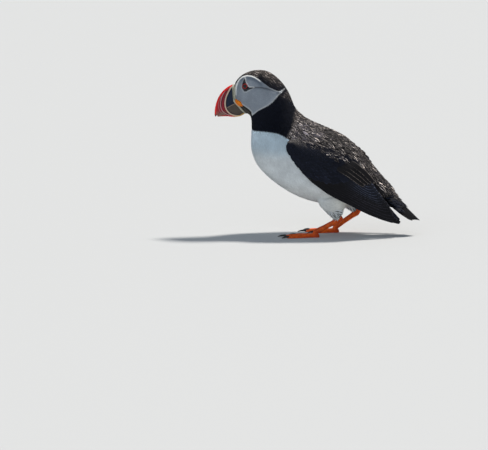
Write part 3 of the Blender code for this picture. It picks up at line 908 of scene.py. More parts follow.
def vane_half(y, round_tip, widest):
    """Half the width of a body vane at a share of its length."""
    root = 0.45 + 0.55 * math.sin(min(y / widest, 1.0) * math.pi / 2)
    tip = max(1 - max((y - widest) / (1 - widest), 0) ** round_tip, 0.0) ** 0.6
    return max(0.5 * root * tip, 0.05)


def vane_shape(name, seed, columns, rows, round_tip, widest):
    """A flat leaf one unit long and wide, with a ragged tip."""
    cut = np.random.default_rng(seed).uniform(-1, 1, columns + 1) * SPLITS
    flat, kept, rims = [], [], []
    for y in np.linspace(0, 1, rows + 1) ** 0.85:
        half = vane_half(y, round_tip, widest)
        for c in range(columns + 1):
            across = c / columns - 0.5
            x = 2 * half * across
            tip = y + cut[c] * eased(y, 0.75, 1.0) - 0.10 * (2 * across) ** 2 * eased(y, 0.6, 1.0)
            flat.append((x, tip, 0.0))
            kept.append((x, tip, -((2 * x) ** 2) - 0.9 * eased(y, 0.8, 1.0)))
            rims.append(abs(2 * across))
    return vane_object(name, flat, kept, rims, rows, columns)


def vane_set(name, make):
    """A collection of vanes to pick from. `make` models one from its name and number."""
    kept = bpy.data.collections.new(name)
    for i in range(VANE_KINDS):
        kept.objects.link(make(f"{name} {i + 1}", i))
    return kept


def body_vane_set(name, **shape):
    return vane_set(name, lambda own, i: vane_shape(own, 10 + i, **shape))


down_vanes = body_vane_set("face vane", columns=2, rows=4, round_tip=1.5, widest=0.5)
body_vanes = body_vane_set("body vane", columns=4, rows=6, round_tip=2.4, widest=0.55)
long_vanes = body_vane_set("mantle vane", columns=4, rows=7, round_tip=1.7, widest=0.5)

# %% [markdown]
# ## Where feathers grow
# Feathers stand at even distances, never in a grid and never in a heap. Distribute Points on
# Faces does that with its Poisson method: random places that keep a least distance. The
# points keep the skin's attributes, so each root knows its normal and its place on the map.


# %% Tree that spreads roots over a surface
def new_tree(name, gives, **inputs):
    """A Geometry Nodes tree with named inputs, and the wire of its input node."""
    tree = bpy.data.node_groups.new(name, "GeometryNodeTree")
    for label, kind in inputs.items():
        tree.interface.new_socket(label, in_out="INPUT", socket_type=f"NodeSocket{kind}")
    tree.interface.new_socket(gives, in_out="OUTPUT", socket_type="NodeSocketGeometry")
    return tree, put(tree, "NodeGroupInput")


def told(tree, name):
    """A named attribute of the points."""
    kind = KINDS.get(name, "FLOAT")
    return put(tree, "GeometryNodeInputNamedAttribute", {"Name": name}, data_type=kind)


CROWDING = 3.0  # places tried in a square as wide as the spacing
roots_tree, given = new_tree("Spread roots", "Roots", Surface="Geometry", Spacing="Float", Seed="Int")
square = given["Spacing"].maths("POWER", 2.0)
crowd = put(roots_tree, "ShaderNodeMath", {0: CROWDING, 1: square}, operation="DIVIDE")
spread = put(
    roots_tree,
    "GeometryNodeDistributePointsOnFaces",
    {
        "Mesh": given["Surface"],
        "Distance Min": given["Spacing"],
        "Density Max": crowd,
        "Density Factor": told(roots_tree, "here"),
        "Seed": given["Seed"],
    },
    distribute_method="POISSON",
)
points = put(roots_tree, "GeometryNodePointsToVertices", {0: spread["Points"]})
put(roots_tree, "NodeGroupOutput", {0: points})


def with_tree(piece, tree, **values):
    """Adds a Geometry Nodes modifier and sets its named inputs."""
    modifier = piece.modifiers.new(tree.name, "NODES")
    modifier.node_group = tree
    for item in tree.interface.items_tree:
        if item.item_type == "SOCKET" and item.in_out == "INPUT" and item.name in values:
            modifier[item.identifier] = values[item.name]
    return piece


def roots_on(surface, here, spacing, seed):
    """Spreads roots over the part of a surface where `here` is true. Spacing in mm."""
    note(surface.data, here=here)
    bed = shown("roots", surface.data.copy())
    found = settled(with_tree(bed, roots_tree, Spacing=spacing * MM, Seed=seed)).data
    bpy.data.objects.remove(bed)
    return found


print("sockets of the tree:", [item.name for item in roots_tree.interface.items_tree])

# %% [markdown]
# ## Laying the feathers
# Instance on Points sets a vane at every root, turned so that it points along the lie of the
# coat with its face outwards. Realized, the vane's points are then drawn onto the surface
# below, each at its own height: the root lowest and the tip highest, as shingles lie.


# %% Parts that both feather trees share
def realized(tree, given, **placing):
    """A real copy of a vane at every root, and the coordinates on it."""
    vanes = {0: given["Vanes"], "Separate Children": True, "Reset Children": True}
    vanes = put(tree, "GeometryNodeCollectionInfo", vanes)
    picked = {"Instance": vanes, "Pick Instance": True, "Instance Index": told(tree, "pick")}
    placed = put(tree, "GeometryNodeInstanceOnPoints", {"Points": given["Roots"], **picked, **placing})
    vane = put(tree, "ShaderNodeSeparateXYZ", {0: told(tree, "vane")})
    return put(tree, "GeometryNodeRealizeInstances", {0: placed}), vane


def drawn_to(tree, surface, at, height):
    """Places at a height over the nearest point of a surface."""
    body = put(tree, "GeometryNodeObjectInfo", {"Object": surface})["Geometry"]
    near = put(tree, "GeometryNodeProximity", {0: body, "Source Position": at}, target_element="FACES")
    normal = put(
        tree,
        "GeometryNodeSampleNearestSurface",
        {"Mesh": body, "Value": told(tree, "outward"), "Sample Position": at},
        data_type="FLOAT_VECTOR",
    )
    return near["Position"] + normal.maths("NORMALIZE").scaled(height)


def finish_tree(tree, given, vanes, where):
    """Moves the vanes, stores their own places on the map, and sets the material."""
    laid = put(tree, "GeometryNodeSetPosition", {"Geometry": vanes, "Position": where})
    corner = (told(tree, "vane") + (0.5, 0.0, 0.0)) * (1.0, 1.0, 0.0)
    spot = told(tree, "place") + corner.scaled(given["Patch"])
    mapped = put(
        tree,
        "GeometryNodeStoreNamedAttribute",
        {"Geometry": laid, "Name": BAKE_MAP, "Value": spot},
        data_type="FLOAT2",
        domain="CORNER",
    )
    smooth = put(tree, "GeometryNodeSetShadeSmooth", {0: mapped})
    finished = put(tree, "GeometryNodeSetMaterial", {"Geometry": smooth, "Material": given["Finish"]})
    put(tree, "NodeGroupOutput", {0: finished})
    print(tree.name, len(tree.nodes), "nodes")


# %% [markdown]
# Where the coat hugs the body, a vane's points go to the surface. A loose lock stays free.

# %% Tree that lays the coat
FEATHER_INPUTS = dict(Roots="Geometry", Vanes="Collection", Surface="Object", Finish="Material")
coat_tree, given = new_tree(
    "Lay feathers", "Coat", **FEATHER_INPUTS, Camber="Float", Sunk="Float", Patch="Float"
)
upright = put(
    coat_tree,
    "FunctionNodeAxesToRotation",
    {0: told(coat_tree, "outward"), 1: told(coat_tree, "along")},
    primary_axis="Z",
    secondary_axis="Y",
)
wide, long = told(coat_tree, "wide"), told(coat_tree, "long")
size = put(coat_tree, "ShaderNodeCombineXYZ", {0: wide, 1: long, 2: 1.0})
real, vane = realized(coat_tree, given, Rotation=upright, Scale=size)
arch = vane["Z"] * given["Camber"] * wide
height = told(coat_tree, "lift") * vane["Y"] - given["Sunk"] + arch
flat = put(coat_tree, "GeometryNodeInputPosition")
hugging = drawn_to(coat_tree, given["Surface"], flat, height)
free = flat + told(coat_tree, "outward").scaled(height)
ways = {0: told(coat_tree, "hug"), 4: free, 5: hugging}
where = put(coat_tree, "ShaderNodeMix", ways, data_type="VECTOR")[1]
finish_tree(coat_tree, given, real, where)

# %% [markdown]
# One function prepares the roots of a coat: it asks the lie of the coat, the colours and the
# sizes, adds a little chance to each, and lays the feathers.

# %% Function that lays one coat
SCRATCH = "along outward long wide lift hug pick place here each lean order".split()
FEATHER_PATCH = 0.003  # width of one feather on the map


def tidy_attributes(mesh):
    """Keeps only the attributes that the finish reads."""
    for name in SCRATCH:
        if name in mesh.attributes:
            mesh.attributes.remove(mesh.attributes[name])


def crisp(mesh, sharp):
    """Recolours a coat point by point, so that the markings' edges are finer than a feather."""
    each = noted(mesh, "each")[:, None]
    for name, colour in zip(("tint", "fringe"), plumage(places(mesh))):
        own = noted(mesh, name)[:, :3]
        note(mesh, **{name: own + (colour * each - own) * sharp})


def coat(
    name, surface, roots, vanes, finish, long, wide, lift, seed, scatter=0.10, hug=1.0, sunk=0.15,
    camber=0.10, along=None, tint=None, sharp=0.0, uneven=None, patchy=0.0, slot="black_plumage",
):
    """Lays feathers on roots. Sizes in mm, as one number or one for each root."""
    rng = np.random.default_rng(seed)
    at, ways, count = places(roots), unit(noted(roots, "outward")), len(roots.vertices)
    flow = lie(at, ways) if along is None else along
    swing = rng.normal(0, scatter, count)[:, None]
    flow = flow * np.cos(swing) + np.cross(ways, flow) * np.sin(swing)
    seen = at + flow * (np.broadcast_to(long, count) * MM * 0.75)[:, None]
    colour, edge = plumage(seen) if tint is None else tint
    each = np.exp(rng.normal(0, 1, count) * (unevenness(at) if uneven is None else uneven))
    note(
        roots,
        each=each,
        along=flow,
        long=long * rng.uniform(0.88, 1.12, count) * MM,
        wide=wide * rng.uniform(0.90, 1.12, count) * MM,
        lift=lift * rng.uniform(0.80, 1.20, count) * MM,
        hug=hug,
        pick=rng.integers(0, VANE_KINDS, count),
        tint=colour * each[:, None],
        fringe=edge * (each * np.exp(rng.normal(0, 1, count) * patchy - 0.4 * patchy))[:, None],
        place=np.pad(noted(roots, BAKE_MAP), ((0, 0), (0, 1))),
    )
    roots.attributes.remove(roots.attributes[BAKE_MAP])
    piece = with_tree(
        shown(name, roots), coat_tree, Vanes=vanes, Surface=surface, Finish=finish, Camber=camber,
        Sunk=sunk * MM, Patch=FEATHER_PATCH,
    )
    settled(piece)
    if sharp:
        crisp(piece.data, sharp)
    tidy_attributes(piece.data)
    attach(piece, "root")
    print(name, count, "feathers,", triangles(piece.data), "triangles")


# %% [markdown]
# ## The folded wings
# A folded wing is a long leaf on the bird's side. These pairs give its lower and upper edge
# in side view, from the bend to the tip. A place on the wing is then two numbers: `t` along
# it, 0 at the bend and 1 at the tip, and `v` across it, 0 at the lower edge.

# %% Places on the wing
WING = np.array([
    (-35.6, 108.6, -33.6, 113.4), (-35, 103, -24.5, 115.5), (-28.8, 91.8, -13, 112), (-19, 78.4, 0, 109),
    (-7.5, 67.7, 14, 105), (8, 57.1, 30, 100), (23.4, 47.2, 44, 91.5), (36.9, 40, 55, 80.5),
    (50.4, 31.8, 64, 67.5), (62, 26, 73, 53.5), (74, 21.7, 82, 40.5), (85.3, 18.6, 90, 29.8),
    (96, 16, 97.5, 20),
])
WING_BEND = np.array((-34.5, 110.0))
WING_LIFT = {LEFT: 0.0, RIGHT: 4.5}  # degrees
PAST_TIP = np.array((9.6, -3.6))  # mm for each row past the tip


def wing_place(t, v, side):
    """Side-view place of (t, v) on a wing, in mm. Works past the edges too."""
    t, v = np.broadcast_arrays(np.asarray(t, float), np.asarray(v, float))
    last = len(WING) - 1
    row = np.clip(t, 0, 1) * last
    edges = np.stack([np.interp(row, np.arange(len(WING)), WING[:, c]) for c in range(4)], -1)
    spot = edges[..., :2] + (edges[..., 2:] - edges[..., :2]) * v[..., None]
    off = spot + (np.maximum(t - 1, 0) * last)[..., None] * PAST_TIP - WING_BEND
    return WING_BEND + turned(off[..., 0], off[..., 1], WING_LIFT[side])


print("wing from bend to tip, mm:", round(np.linalg.norm(wing_place(1, 0, LEFT) - WING_BEND), 1))

# %% [markdown]
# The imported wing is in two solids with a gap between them. A sheet is laid over both: rays
# from the side find its height, the known heights are carried outwards past the edges, and
# the whole is smoothed. All wing feathers lie on this sheet.

# %% Lay a sheet over each wing
CARRY_ROUNDS, SMOOTH_ROUNDS = 300, 6


def four_round(grid, **how):
    """The sum of the four neighbours of each cell."""
    wide = np.pad(grid, 1, **how)
    return wide[:-2, 1:-1] + wide[2:, 1:-1] + wide[1:-1, :-2] + wide[1:-1, 2:]


def carried(y, known):
    """Carries known heights outwards over the unknown cells, and smooths all."""
    y, weight = np.where(known, y, 0.0), known.astype(float)
    for _ in range(CARRY_ROUNDS):
        total = four_round(weight)
        mean = four_round(y * weight) / np.maximum(total, 1e-6)
        y = np.where(known, y, np.where(total > 0, mean, y))
        weight = np.where(known | (total > 0), 1.0, weight)
    for _ in range(SMOOTH_ROUNDS):
        y = 0.5 * y + 0.125 * four_round(y, mode="edge")
    return y


def wing_sheet(side, word, rows=90, columns=30):
    """The sheet, and the t, v and y of its grid."""
    solids = [tree_of(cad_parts[f"{part}_{word}"].data) for part in ("wing", "primaries")]
    t, v = np.meshgrid(np.linspace(-0.02, 1.04, rows), np.linspace(-0.12, 1.12, columns), indexing="ij")
    xz = wing_place(t, v, side)
    y = [max(reach(solid, x, z, side) for solid in solids) for x, z in xz.reshape(-1, 2)]
    y = np.array(y).reshape(rows, columns)
    y = side * carried(y, (y > 0) & (v > 0.03) & (v < 0.97) & (t > 0.012))
    points = np.insert(xz, 1, y, axis=-1).reshape(-1, 3) * MM
    faces = [f if side > 0 else f[::-1] for f in grid_faces(rows, columns)]
    mesh = new_mesh(f"wing sheet {word}", points, faces)
    note(mesh, outward=outward(mesh))
    return shown(f"wing sheet {word}", mesh), t, v, y * MM


sheets, sheet_grids, sheet_trees = {}, {}, {}
for side, word in SIDES:
    sheets[side], *sheet_grids[side] = wing_sheet(side, word)
    sheet_trees[side] = tree_of(sheets[side].data)
    print("wing sheet", word, triangles(sheets[side].data), "triangles")

# %% [markdown]
# Under the feathers lies a thin dark core of the wing, made from the same sheet a little
# deeper and given a thickness.

# %% Make the wing cores
CORE_THICK = 0.7  # mm


def core_sheet(side, word):
    t, v, y = sheet_grids[side]
    depth = (1.2 + 0.5 * (1 - np.abs(2 * v - 1) ** 3)) * MM
    xz = wing_place(np.clip(t, 0.012, 0.985), np.clip(v, 0.05, 0.95), side) * MM
    grid = np.insert(xz, 1, y - side * depth, axis=-1)
    grid = grid[(t[:, 0] > 0.0) & (t[:, 0] < 1.0)][:, (v[0] > 0.02) & (v[0] < 0.98)]
    mesh = new_mesh(f"wing_core_{word}", grid.reshape(-1, 3), grid_faces(*grid.shape[:2]))
    return facing(mesh, (0, side, 0))


for side, word in SIDES:
    core = thickened(shown(f"wing_core_{word}", core_sheet(side, word)), CORE_THICK)
    note(core.data, tint=BLACK * 1.5, fringe=BLACK * 1.5, vane=PLAIN_VANE)
    shade(core.data, sleek_plumage)
    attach(core, "root")
    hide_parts(f"wing_{word}", f"primaries_{word}")
    print("wing core", word, triangles(core.data), "triangles")

# %% [markdown]
# ## Quills along paths
# Primaries, secondaries and tail feathers are long, so each follows a path of its own. Each
# path is a spline. One vane is set for each root, and Sample Curve then tells every point of
# the vane where along the path it belongs. The vanes tilt a little, so that each slips under
# the next, and they get a real thickness.

# %% Tree that lays quills on paths
QUILL_ARCH = 0.06
quill_tree, given = new_tree(
    "Lay quills", "Quills", **FEATHER_INPUTS, Paths="Object",
    **dict.fromkeys(("Tilt", "Sunk", "Drop", "Patch"), "Float"),
)
real, vane = realized(quill_tree, given)
lines = put(quill_tree, "GeometryNodeObjectInfo", {"Object": given["Paths"]})["Geometry"]
path = put(
    quill_tree,
    "GeometryNodeSampleCurve",
    {"Curves": lines, "Factor": vane["Y"], "Curve Index": told(quill_tree, "order")},
    mode="FACTOR",
)
across_way = told(quill_tree, "outward").maths("CROSS_PRODUCT", path["Tangent"]).maths("NORMALIZE")
spot = path["Position"] + across_way.scaled(vane["X"] * told(quill_tree, "wide"))
slope = vane["X"] * told(quill_tree, "lean") * given["Tilt"]
arch = vane["Z"] * QUILL_ARCH * told(quill_tree, "wide")
dropped_root = vane["Y"].stepped(0.0, 0.4, 1.0, 0.0) * given["Drop"]
height = told(quill_tree, "lift") - given["Sunk"] + (slope + arch) - dropped_root
finish_tree(quill_tree, given, real, drawn_to(quill_tree, given["Surface"], spot, height))


# %% [markdown]
# The long vane has a straight middle and a rounded tip, and its edges waver slightly.

# %% The long vane
def quill_shape(name, seed, columns=6, rows=16):
    rng = np.random.default_rng(seed)
    kept, rims = [], []
    for r in range(rows + 1):
        y = 1 - (1 - r / rows) ** 1.5
        tip = max(1 - max((y - 0.80) / 0.20, 0) ** 2.2, 0.0) ** 0.5
        half = max(0.5 * min(1.0, 0.35 + y * 2.4) * tip, 0.012)
        for c in range(columns + 1):
            across = c / columns - 0.5
            wobble = 0.006 * rng.normal() * (y > 0.3)
            along = min(y + wobble, 1.0) if r < rows else 1.0
            kept.append((2 * half * across, along, -((4 * half * across) ** 2)))
            rims.append(abs(2 * across))
    return vane_object(name, [(x, y, 0.0) for x, y, _ in kept], kept, rims, rows, columns)


quill_vanes = vane_set("quill", lambda own, i: quill_shape(own, 30 + i))

# %% [markdown]
# Each quill has a patch of its own on the map, in rows of eight.

# %% Function that lays quills
QUILL_PATCH, PATCHES_IN_ROW = 0.10, 8


def path_curves(name, paths):
    """A curve object with one spline for each path, given in mm."""
    curve = bpy.data.curves.new(name, "CURVE")
    curve.dimensions = "3D"
    for path in paths:
        spline = curve.splines.new("POLY")
        spline.points.add(len(path) - 1)
        spline.points.foreach_set("co", np.insert(path * MM, 3, 1.0, axis=1).astype(np.float32).ravel())
    return shown(name, curve)


def quills(
    name, paths, surface, wide, lift, lean, face, tint, fringe, tilt, sunk, thickness, drop=0.0
):
    """Lays one long vane on each path. Paths in mm, from root to tip."""
    order = np.arange(len(paths))
    column, row = order % PATCHES_IN_ROW, order // PATCHES_IN_ROW
    lines = path_curves(f"{name} paths", paths)
    roots = new_mesh(name, [path[0] * MM for path in paths])
    note(
        roots,
        outward=face,
        wide=np.multiply(wide, MM),
        lift=np.multiply(lift, MM),
        lean=lean,
        order=order,
        pick=order % VANE_KINDS,
        tint=tint,
        fringe=fringe,
        place=np.stack([0.03 + 0.12 * column, 0.03 + 0.24 * row, 0 * row], 1),
    )
    piece = with_tree(
        shown(name, roots), quill_tree, Vanes=quill_vanes, Paths=lines, Surface=surface,
        Finish=sleek_plumage, Tilt=tilt * MM, Sunk=sunk * MM, Drop=drop * MM, Patch=QUILL_PATCH,
    )
    thickened(settled(piece), thickness)
    tidy_attributes(piece.data)
    bpy.data.objects.remove(lines)
    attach(piece, "root")
    print(name, len(paths), "quills,", triangles(piece.data), "triangles")
    return piece


# %% [markdown]
# ## Primaries and secondaries
# Folded, the flight feathers lie nearly parallel like a closing fan. The outermost primary
# makes the wing's lower edge and reaches its tip, and each one inwards starts higher and ends
# sooner, along the wing's rear edge. Those nearer the body lie on top.

# %% Lay the flight feathers
QUILL = rgb(0.0055, 0.0055, 0.0080)
# A bluish sheen, painted into the colour of the inner flight feathers as a reflection.
SHEEN_BLUE = rgb(0.0105, 0.0130, 0.0215)
FLIGHT_COUNT, OFF_SHEET = 16, 40.0  # feathers, mm


def covert_line(v):
    """Where the coverts end, as t."""
    return 0.31 + 0.36 * np.asarray(v) ** 0.55


def over_wing(side, t, v):
    """A path over a wing's sheet through places (t, v), in mm."""
    xz = wing_place(t, v, side)
    y = [side * reach(sheet_trees[side], x, z, side, OFF_SHEET) for x, z in xz]
    return np.insert(xz, 1, y, axis=1)


def flight_path(side, s):
    """The path of one flight feather: s is 0 for the outermost and 1 for the innermost."""
    step = np.linspace(0, 1, 26)
    v_root, v_tip = 0.06 + 0.83 * s, 0.35 + 0.58 * eased(s, 0.0, 0.35)
    t_root, t_tip = covert_line(v_root) - 0.10, 1.0 - 0.37 * s**0.9
    v = v_root + (v_tip - v_root) * step ** (2.0 + 2.0 * s)
    return over_wing(side, t_root + (t_tip - t_root) * step, v)


share = np.linspace(0, 1, FLIGHT_COUNT)
# The inner flight feathers get the painted bluish sheen.
tint = laid_over(QUILL, SHEEN_BLUE, eased(share, 0.35, 0.75))
for side, word in SIDES:
    quills(
        f"flight_feathers_{word}", [flight_path(side, s) for s in share], sheets[side],
        wide=9.5 - share, lift=0.25 + 0.25 * share, lean=side, face=(0, side, 0), tint=tint * 0.85,
        fringe=tint * 10.0, tilt=1.5, sunk=0.75, thickness=0.18,
    )

# %% [markdown]
# Four long tertials with pale edges close the wing at the rear, over the secondaries' roots.
# Their blunt roots drop below the coverts. On the right wing, which is held a little higher,
# they lie lower and flatter, so that the back's outline stays smooth.

# %% Lay the tertials
TERTIAL_LOW = {LEFT: 0.66, RIGHT: 0.52}  # v of the lowest one
TERTIAL_LIFT = {LEFT: 1.7, RIGHT: 1.0}  # mm
TERTIALS = np.arange(4)


def tertial_path(side, k):
    step = np.linspace(0, 1, 16)
    v = TERTIAL_LOW[side] + 0.085 * k + (0.03 + 0.02 * k) * step**2
    return over_wing(side, 0.38 + 0.02 * k + (0.245 - 0.002 * k) * step, v)


for side, word in SIDES:
    quills(
        f"tertials_{word}", [tertial_path(side, k) for k in TERTIALS], sheets[side], wide=6.5,
        lift=TERTIAL_LIFT[side] + 0.25 * TERTIALS, lean=side, face=(0, side, 0), tint=MANTLE * 0.6,
        fringe=FRINGE * 0.5, tilt=1.0, sunk=0.3, thickness=0.16, drop=3.2,
    )

# %% [markdown]
# ## Wing coverts
# Rows of smaller feathers cover the quills' roots. They grow from the wing's bend backwards,
# from scale-like ones of 4 mm to greater coverts of 17 mm, and the upper rows have worn brown
# edges. `back` is how far a row lies ahead of the line where the coverts end.

# %% Choose where the coverts grow
COVERTS_FIRST, COVERTS_LAST, WING_RUN = 15.5, 92.0, 132.0  # mm


def covert_row(side, back, row, size, rng):
    """Places (t, v, size) of one row of coverts."""
    v = np.arange(0.05, 1.0, 0.001)
    t = covert_line(v) - back / WING_RUN
    if not (t > 0.004).any():
        return []
    run = run_along(wing_place(np.maximum(t, 0), v, side))
    gap = 0.36 * size + 0.8
    found = []
    for own_v in np.interp(np.arange((row % 2) * gap / 2, run[-1], gap), run, v):
        own_t = covert_line(own_v) - back / WING_RUN + rng.normal(0, 0.0015)
        if own_t > 0.004:
            found.append((own_t, own_v + rng.normal(0, 0.004), size))
    return found


def covert_places(side, seed=5):
    rng = np.random.default_rng(seed)
    found, back, row = [], COVERTS_FIRST, 0
    while back < COVERTS_LAST:
        size = 3.4 + 13.0 * math.exp(-(back - 15.0) / 14.0)
        found += covert_row(side, back, row, size, rng)
        back += 0.30 * size + 0.55
        row += 1
    return np.array(found).T


print("coverts on the left wing:", covert_places(LEFT).shape[1])

# %% [markdown]
# Each covert points a little way further along the wing, and low ones turn inwards.


# %% Lay the coverts
def on_sheet(side, x, z):
    """A place on a wing's sheet and its outward normal."""
    hit, normal = side_hit(sheet_trees[side], x, z, side)
    if hit is None:
        return (x * MM, side * OFF_SHEET * MM, z * MM), (0.0, side, 0.0)
    return hit, normal * (1 if normal.y * side > 0 else -1)


def covert_colours(t, v, at):
    """Worn brown edges on the upper rows, in patches, and pale ones at the wing's bend."""
    upper = eased(v - 0.10 * eased(t, 0.1, 0.3), 0.70, 0.94) * np.clip(0.35 + clumps(at), 0.1, 1)
    bend = eased(t, 0.17, 0.03) * eased(v, 0.60, 0.88)
    worn = np.maximum(upper, 0.9 * bend)
    tint = laid_over(BLACK * 1.25, MANTLE, worn) + FRINGE * 0.16 * bend[:, None]
    return tint, laid_over(BLACK * 4.0, FRINGE, worn)


for side, word in SIDES:
    t, v, size = covert_places(side)
    xz = wing_place(t, v, side)
    ahead = wing_place(t + 0.02, v + 0.03 * (1 - eased(v, 0.0, 0.35)), side)
    at, ways = (np.array(found) for found in zip(*(on_sheet(side, x, z) for x, z in xz)))
    roots = new_mesh("covert roots", at)
    note(roots, outward=ways, OFBake=np.stack([0.05 + 0.85 * t / 0.66, 0.05 + 0.85 * v], 1))
    narrow = 1 - 0.45 * (1 - eased(v, 0.0, 0.25))
    coat(
        f"wing_coverts_{word}", sheets[side], roots, body_vanes, scaly_plumage, long=size,
        wide=(size * 0.50 + 0.6) * narrow, lift=0.55 + 0.035 * size, seed=40 + side, scatter=0.05,
        sunk=0.35, along=along_surface(np.insert(ahead - xz, 1, 0.0, axis=1), ways),
        tint=covert_colours(t, v, at), uneven=0.13,
    )

# %% [markdown]
# ## Mantle and rump
# The back's feathers flow over the upper edge of the folded wings. They are therefore laid on
# a hull round the body and the wings together, smoothed so that the feathers bridge the gap.

# %% Make the hull for the mantle
HULL_GROW, HULL_VOXEL, HULL_ROUNDS, HULL_SINK = 1.6, 1.6, 22, 2.6  # mm, mm, rounds, mm

hull = fused("back hull", [*FLESH, "wing_left", "wing_right"], HULL_GROW, HULL_VOXEL, HULL_ROUNDS)
move(hull.data, places(hull.data) - outward(hull.data) * HULL_SINK * MM)
unwrapped(hull)
hull_places = places(hull.data)
note(hull.data, outward=outward(hull.data))
print("hull triangles:", triangles(hull.data))

# %% [markdown]
# The mantle starts at the back of the neck and ends on the rump. It overlaps the wing by a
# few millimetres on the left, and further on the right, where the wing is held higher.

# %% Lay the mantle
x, z = side_view(hull_places).T
on_right = hull_places[:, 1] > 0
wing_tops = [wing_place(np.linspace(0.02, 0.74, 24), 1.0, side).T for side, _ in SIDES]
above_wing = z - np.where(on_right, np.interp(x, *wing_tops[1]), np.interp(x, *wing_tops[0]))
overlap = np.interp(x, [-34, -12, 4, 42, 56], [0, -1, -5, -5, 0])
on_back = (
    (x > neck_back(z) - 2.0)
    & (x > -34.0)
    & (x < 82.0)
    & (above_wing > np.where(on_right & (x > 20.0), -20.0, overlap))
    & (z > dark_edge(x) - 1.0 + 3.5 * (x < -22.0))
)
roots = roots_on(hull, on_back, 2.45, 3)
bigger = eased(places(roots)[:, 0] / MM, -34.0, 10.0)
coat(
    "mantle", hull, roots, long_vanes, scaly_plumage, long=8.5 + 7.5 * bigger, wide=3.3 + bigger,
    lift=1.7 + 0.8 * bigger, seed=50, scatter=0.17, sunk=0.2, camber=0.14, patchy=0.7,
)

# %% [markdown]
# ## Head, neck and underparts
# The face has the finest feathers and the belly the longest. Each region has its own spacing.
# Feathers are left out round the eye and the bill's base, where bare skin and horn show. A
# feather rooted in front of a bare place may not lie across it either, so places a little
# ahead are tested too.

# %% Find the bare and the hidden places
BARE = [
    (-96.8, 177.4), (-96.7, 164), (-95.4, 158.6), (-87.8, 151), (-83.4, 141.5), (-84.4, 137),
    (-100, 139), (-104, 178),
]
EYE_PATCH = [
    (-87.2, 172), (-87.3, 176.8), (-86, 180), (-84.3, 183.3), (-83.2, 180), (-81.4, 177.2),
    (-80.4, 174.8), (-81.6, 171.4), (-84.6, 169.8),
]
BAR_PATCH = [(-87.2, 172), (-84.8, 169.2), (-82, 169.4), (-76.8, 172.2), (-79.2, 173.6)]
UNDER_ROSETTE = 0.86  # share of the rosette's size
around = np.linspace(0, 2 * math.pi, 24, endpoint=False)
a, b = UNDER_ROSETTE * ROSETTE_HALF[0] * np.cos(around), UNDER_ROSETTE * ROSETTE_HALF[1] * np.sin(around)
ROSETTE_PATCH = ROSETTE_CENTRE + turned(a, b, ROSETTE_TURN)
LOOK_AHEAD = (0.0, 0.8, 1.6, 2.3)  # mm


def bare_places(xz, flow):
    bare = inside(xz, BARE)
    for ahead in LOOK_AHEAD:
        tips = side_view(skin_places + flow * ahead * MM)
        for outline in (EYE_PATCH, ROSETTE_PATCH, BAR_PATCH):
            bare = np.maximum(bare, inside(tips, outline))
    return bare > -1e-12


def under_wing(xz):
    """Places well inside the outline of the wing on their own side."""
    hidden = np.zeros(len(xz), bool)
    for side, _ in SIDES:
        low = wing_place(np.linspace(0.04, 0.7, 20), 0.10, side)
        high = wing_place(np.linspace(0.7, 0.04, 20), 0.92, side)
        own = skin_places[:, 1] * side > 0
        hidden |= own & (inside(xz, np.concatenate([low, high])) > 3.0)
    return hidden


xz = side_view(skin_places)
bare, wing_hidden = bare_places(xz, lie(skin_places, skin_ways)), under_wing(xz)
print("bare points:", bare.sum(), "points under the wings:", wing_hidden.sum())

# %% [markdown]
# Three regions share the skin: head, neck and underparts. They overlap by a feather, and the
# places that the mantle and the wings hide stay without feathers of their own.

# %% Choose the regions on the skin
x, z = xz.T
edge, past_head = dark_edge(x), beyond(xz, (-77.0, 122.0), (-44.0, 181.0))
covered = (x > neck_back(z) + 4.0) & (z > edge + 3.0)
leg_zone = (z < 33.0) & (np.abs(skin_places[:, 1]) > 9.0 * MM) & (x > -2.0) & (x < 56.0)
head_here = (past_head < 1.0) & ~bare
neck_here = (past_head > -1.0) & (z > edge - 2.0) & ~covered & (x < 0.0)
belly_here = (past_head > -1.0) & (z <= edge + 0.5) & ~wing_hidden & ~covered & ~leg_zone
print("points on head, neck and belly:", head_here.sum(), neck_here.sum(), belly_here.sum())

# %% [markdown]
# Face feathers are short and lie flat, like velvet. Those of the breast are twice as long.

# %% Lay the small feathers
roots = roots_on(skin, head_here, 0.66, 4)
coat(
    "face_and_crown", skin, roots, down_vanes, soft_plumage, long=2.5, wide=0.95, lift=0.50,
    seed=51, sunk=0.08, camber=0.12, sharp=1.0,
)
roots = roots_on(skin, neck_here, 0.92, 5)
coat(
    "neck", skin, roots, down_vanes, soft_plumage, long=3.9, wide=1.35,
    lift=coat_depth(places(roots)) + 0.15, seed=52, sunk=0.12, sharp=0.9,
)
roots = roots_on(skin, belly_here, 0.98, 6)
coat(
    "breast_and_belly", skin, roots, down_vanes, soft_plumage, long=5.6, wide=1.45,
    lift=0.75 * coat_depth(places(roots)) + 0.10, seed=53, camber=0.06, slot="white_plumage",
)
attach(skin, "root")
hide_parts(*FLESH)

# %% [markdown]
# Over the heels the flank feathers hang in loose pointed locks, longer than those round them
# and not pressed to the leg.

# %% Lay the thigh tufts
roots = roots_on(skin, leg_zone, 1.05, 7)
x, y, z = (places(roots) / MM).T
low = 1 - eased(z, 22.0, 32.0)
lock = np.sin(x * 1.7 + 1.2 * np.sin(y * 0.8))
shaded = (0.16 + 0.84 * eased(lock, -0.95, 0.25))[:, None] * WHITE
shaded = shaded * (1 - low[:, None] * rgb(0.10, 0.13, 0.20))
coat(
    "thigh_tufts", skin, roots, down_vanes, soft_plumage, long=8.0 + 2.5 * low * eased(lock, -1.0, 1.0),
    wide=1.3, lift=1.3 + 0.9 * eased(lock, -0.5, 1.0), seed=54, scatter=0.14, hug=1 - 0.6 * low,
    sunk=0.1, tint=(shaded, shaded), slot="white_plumage",
)

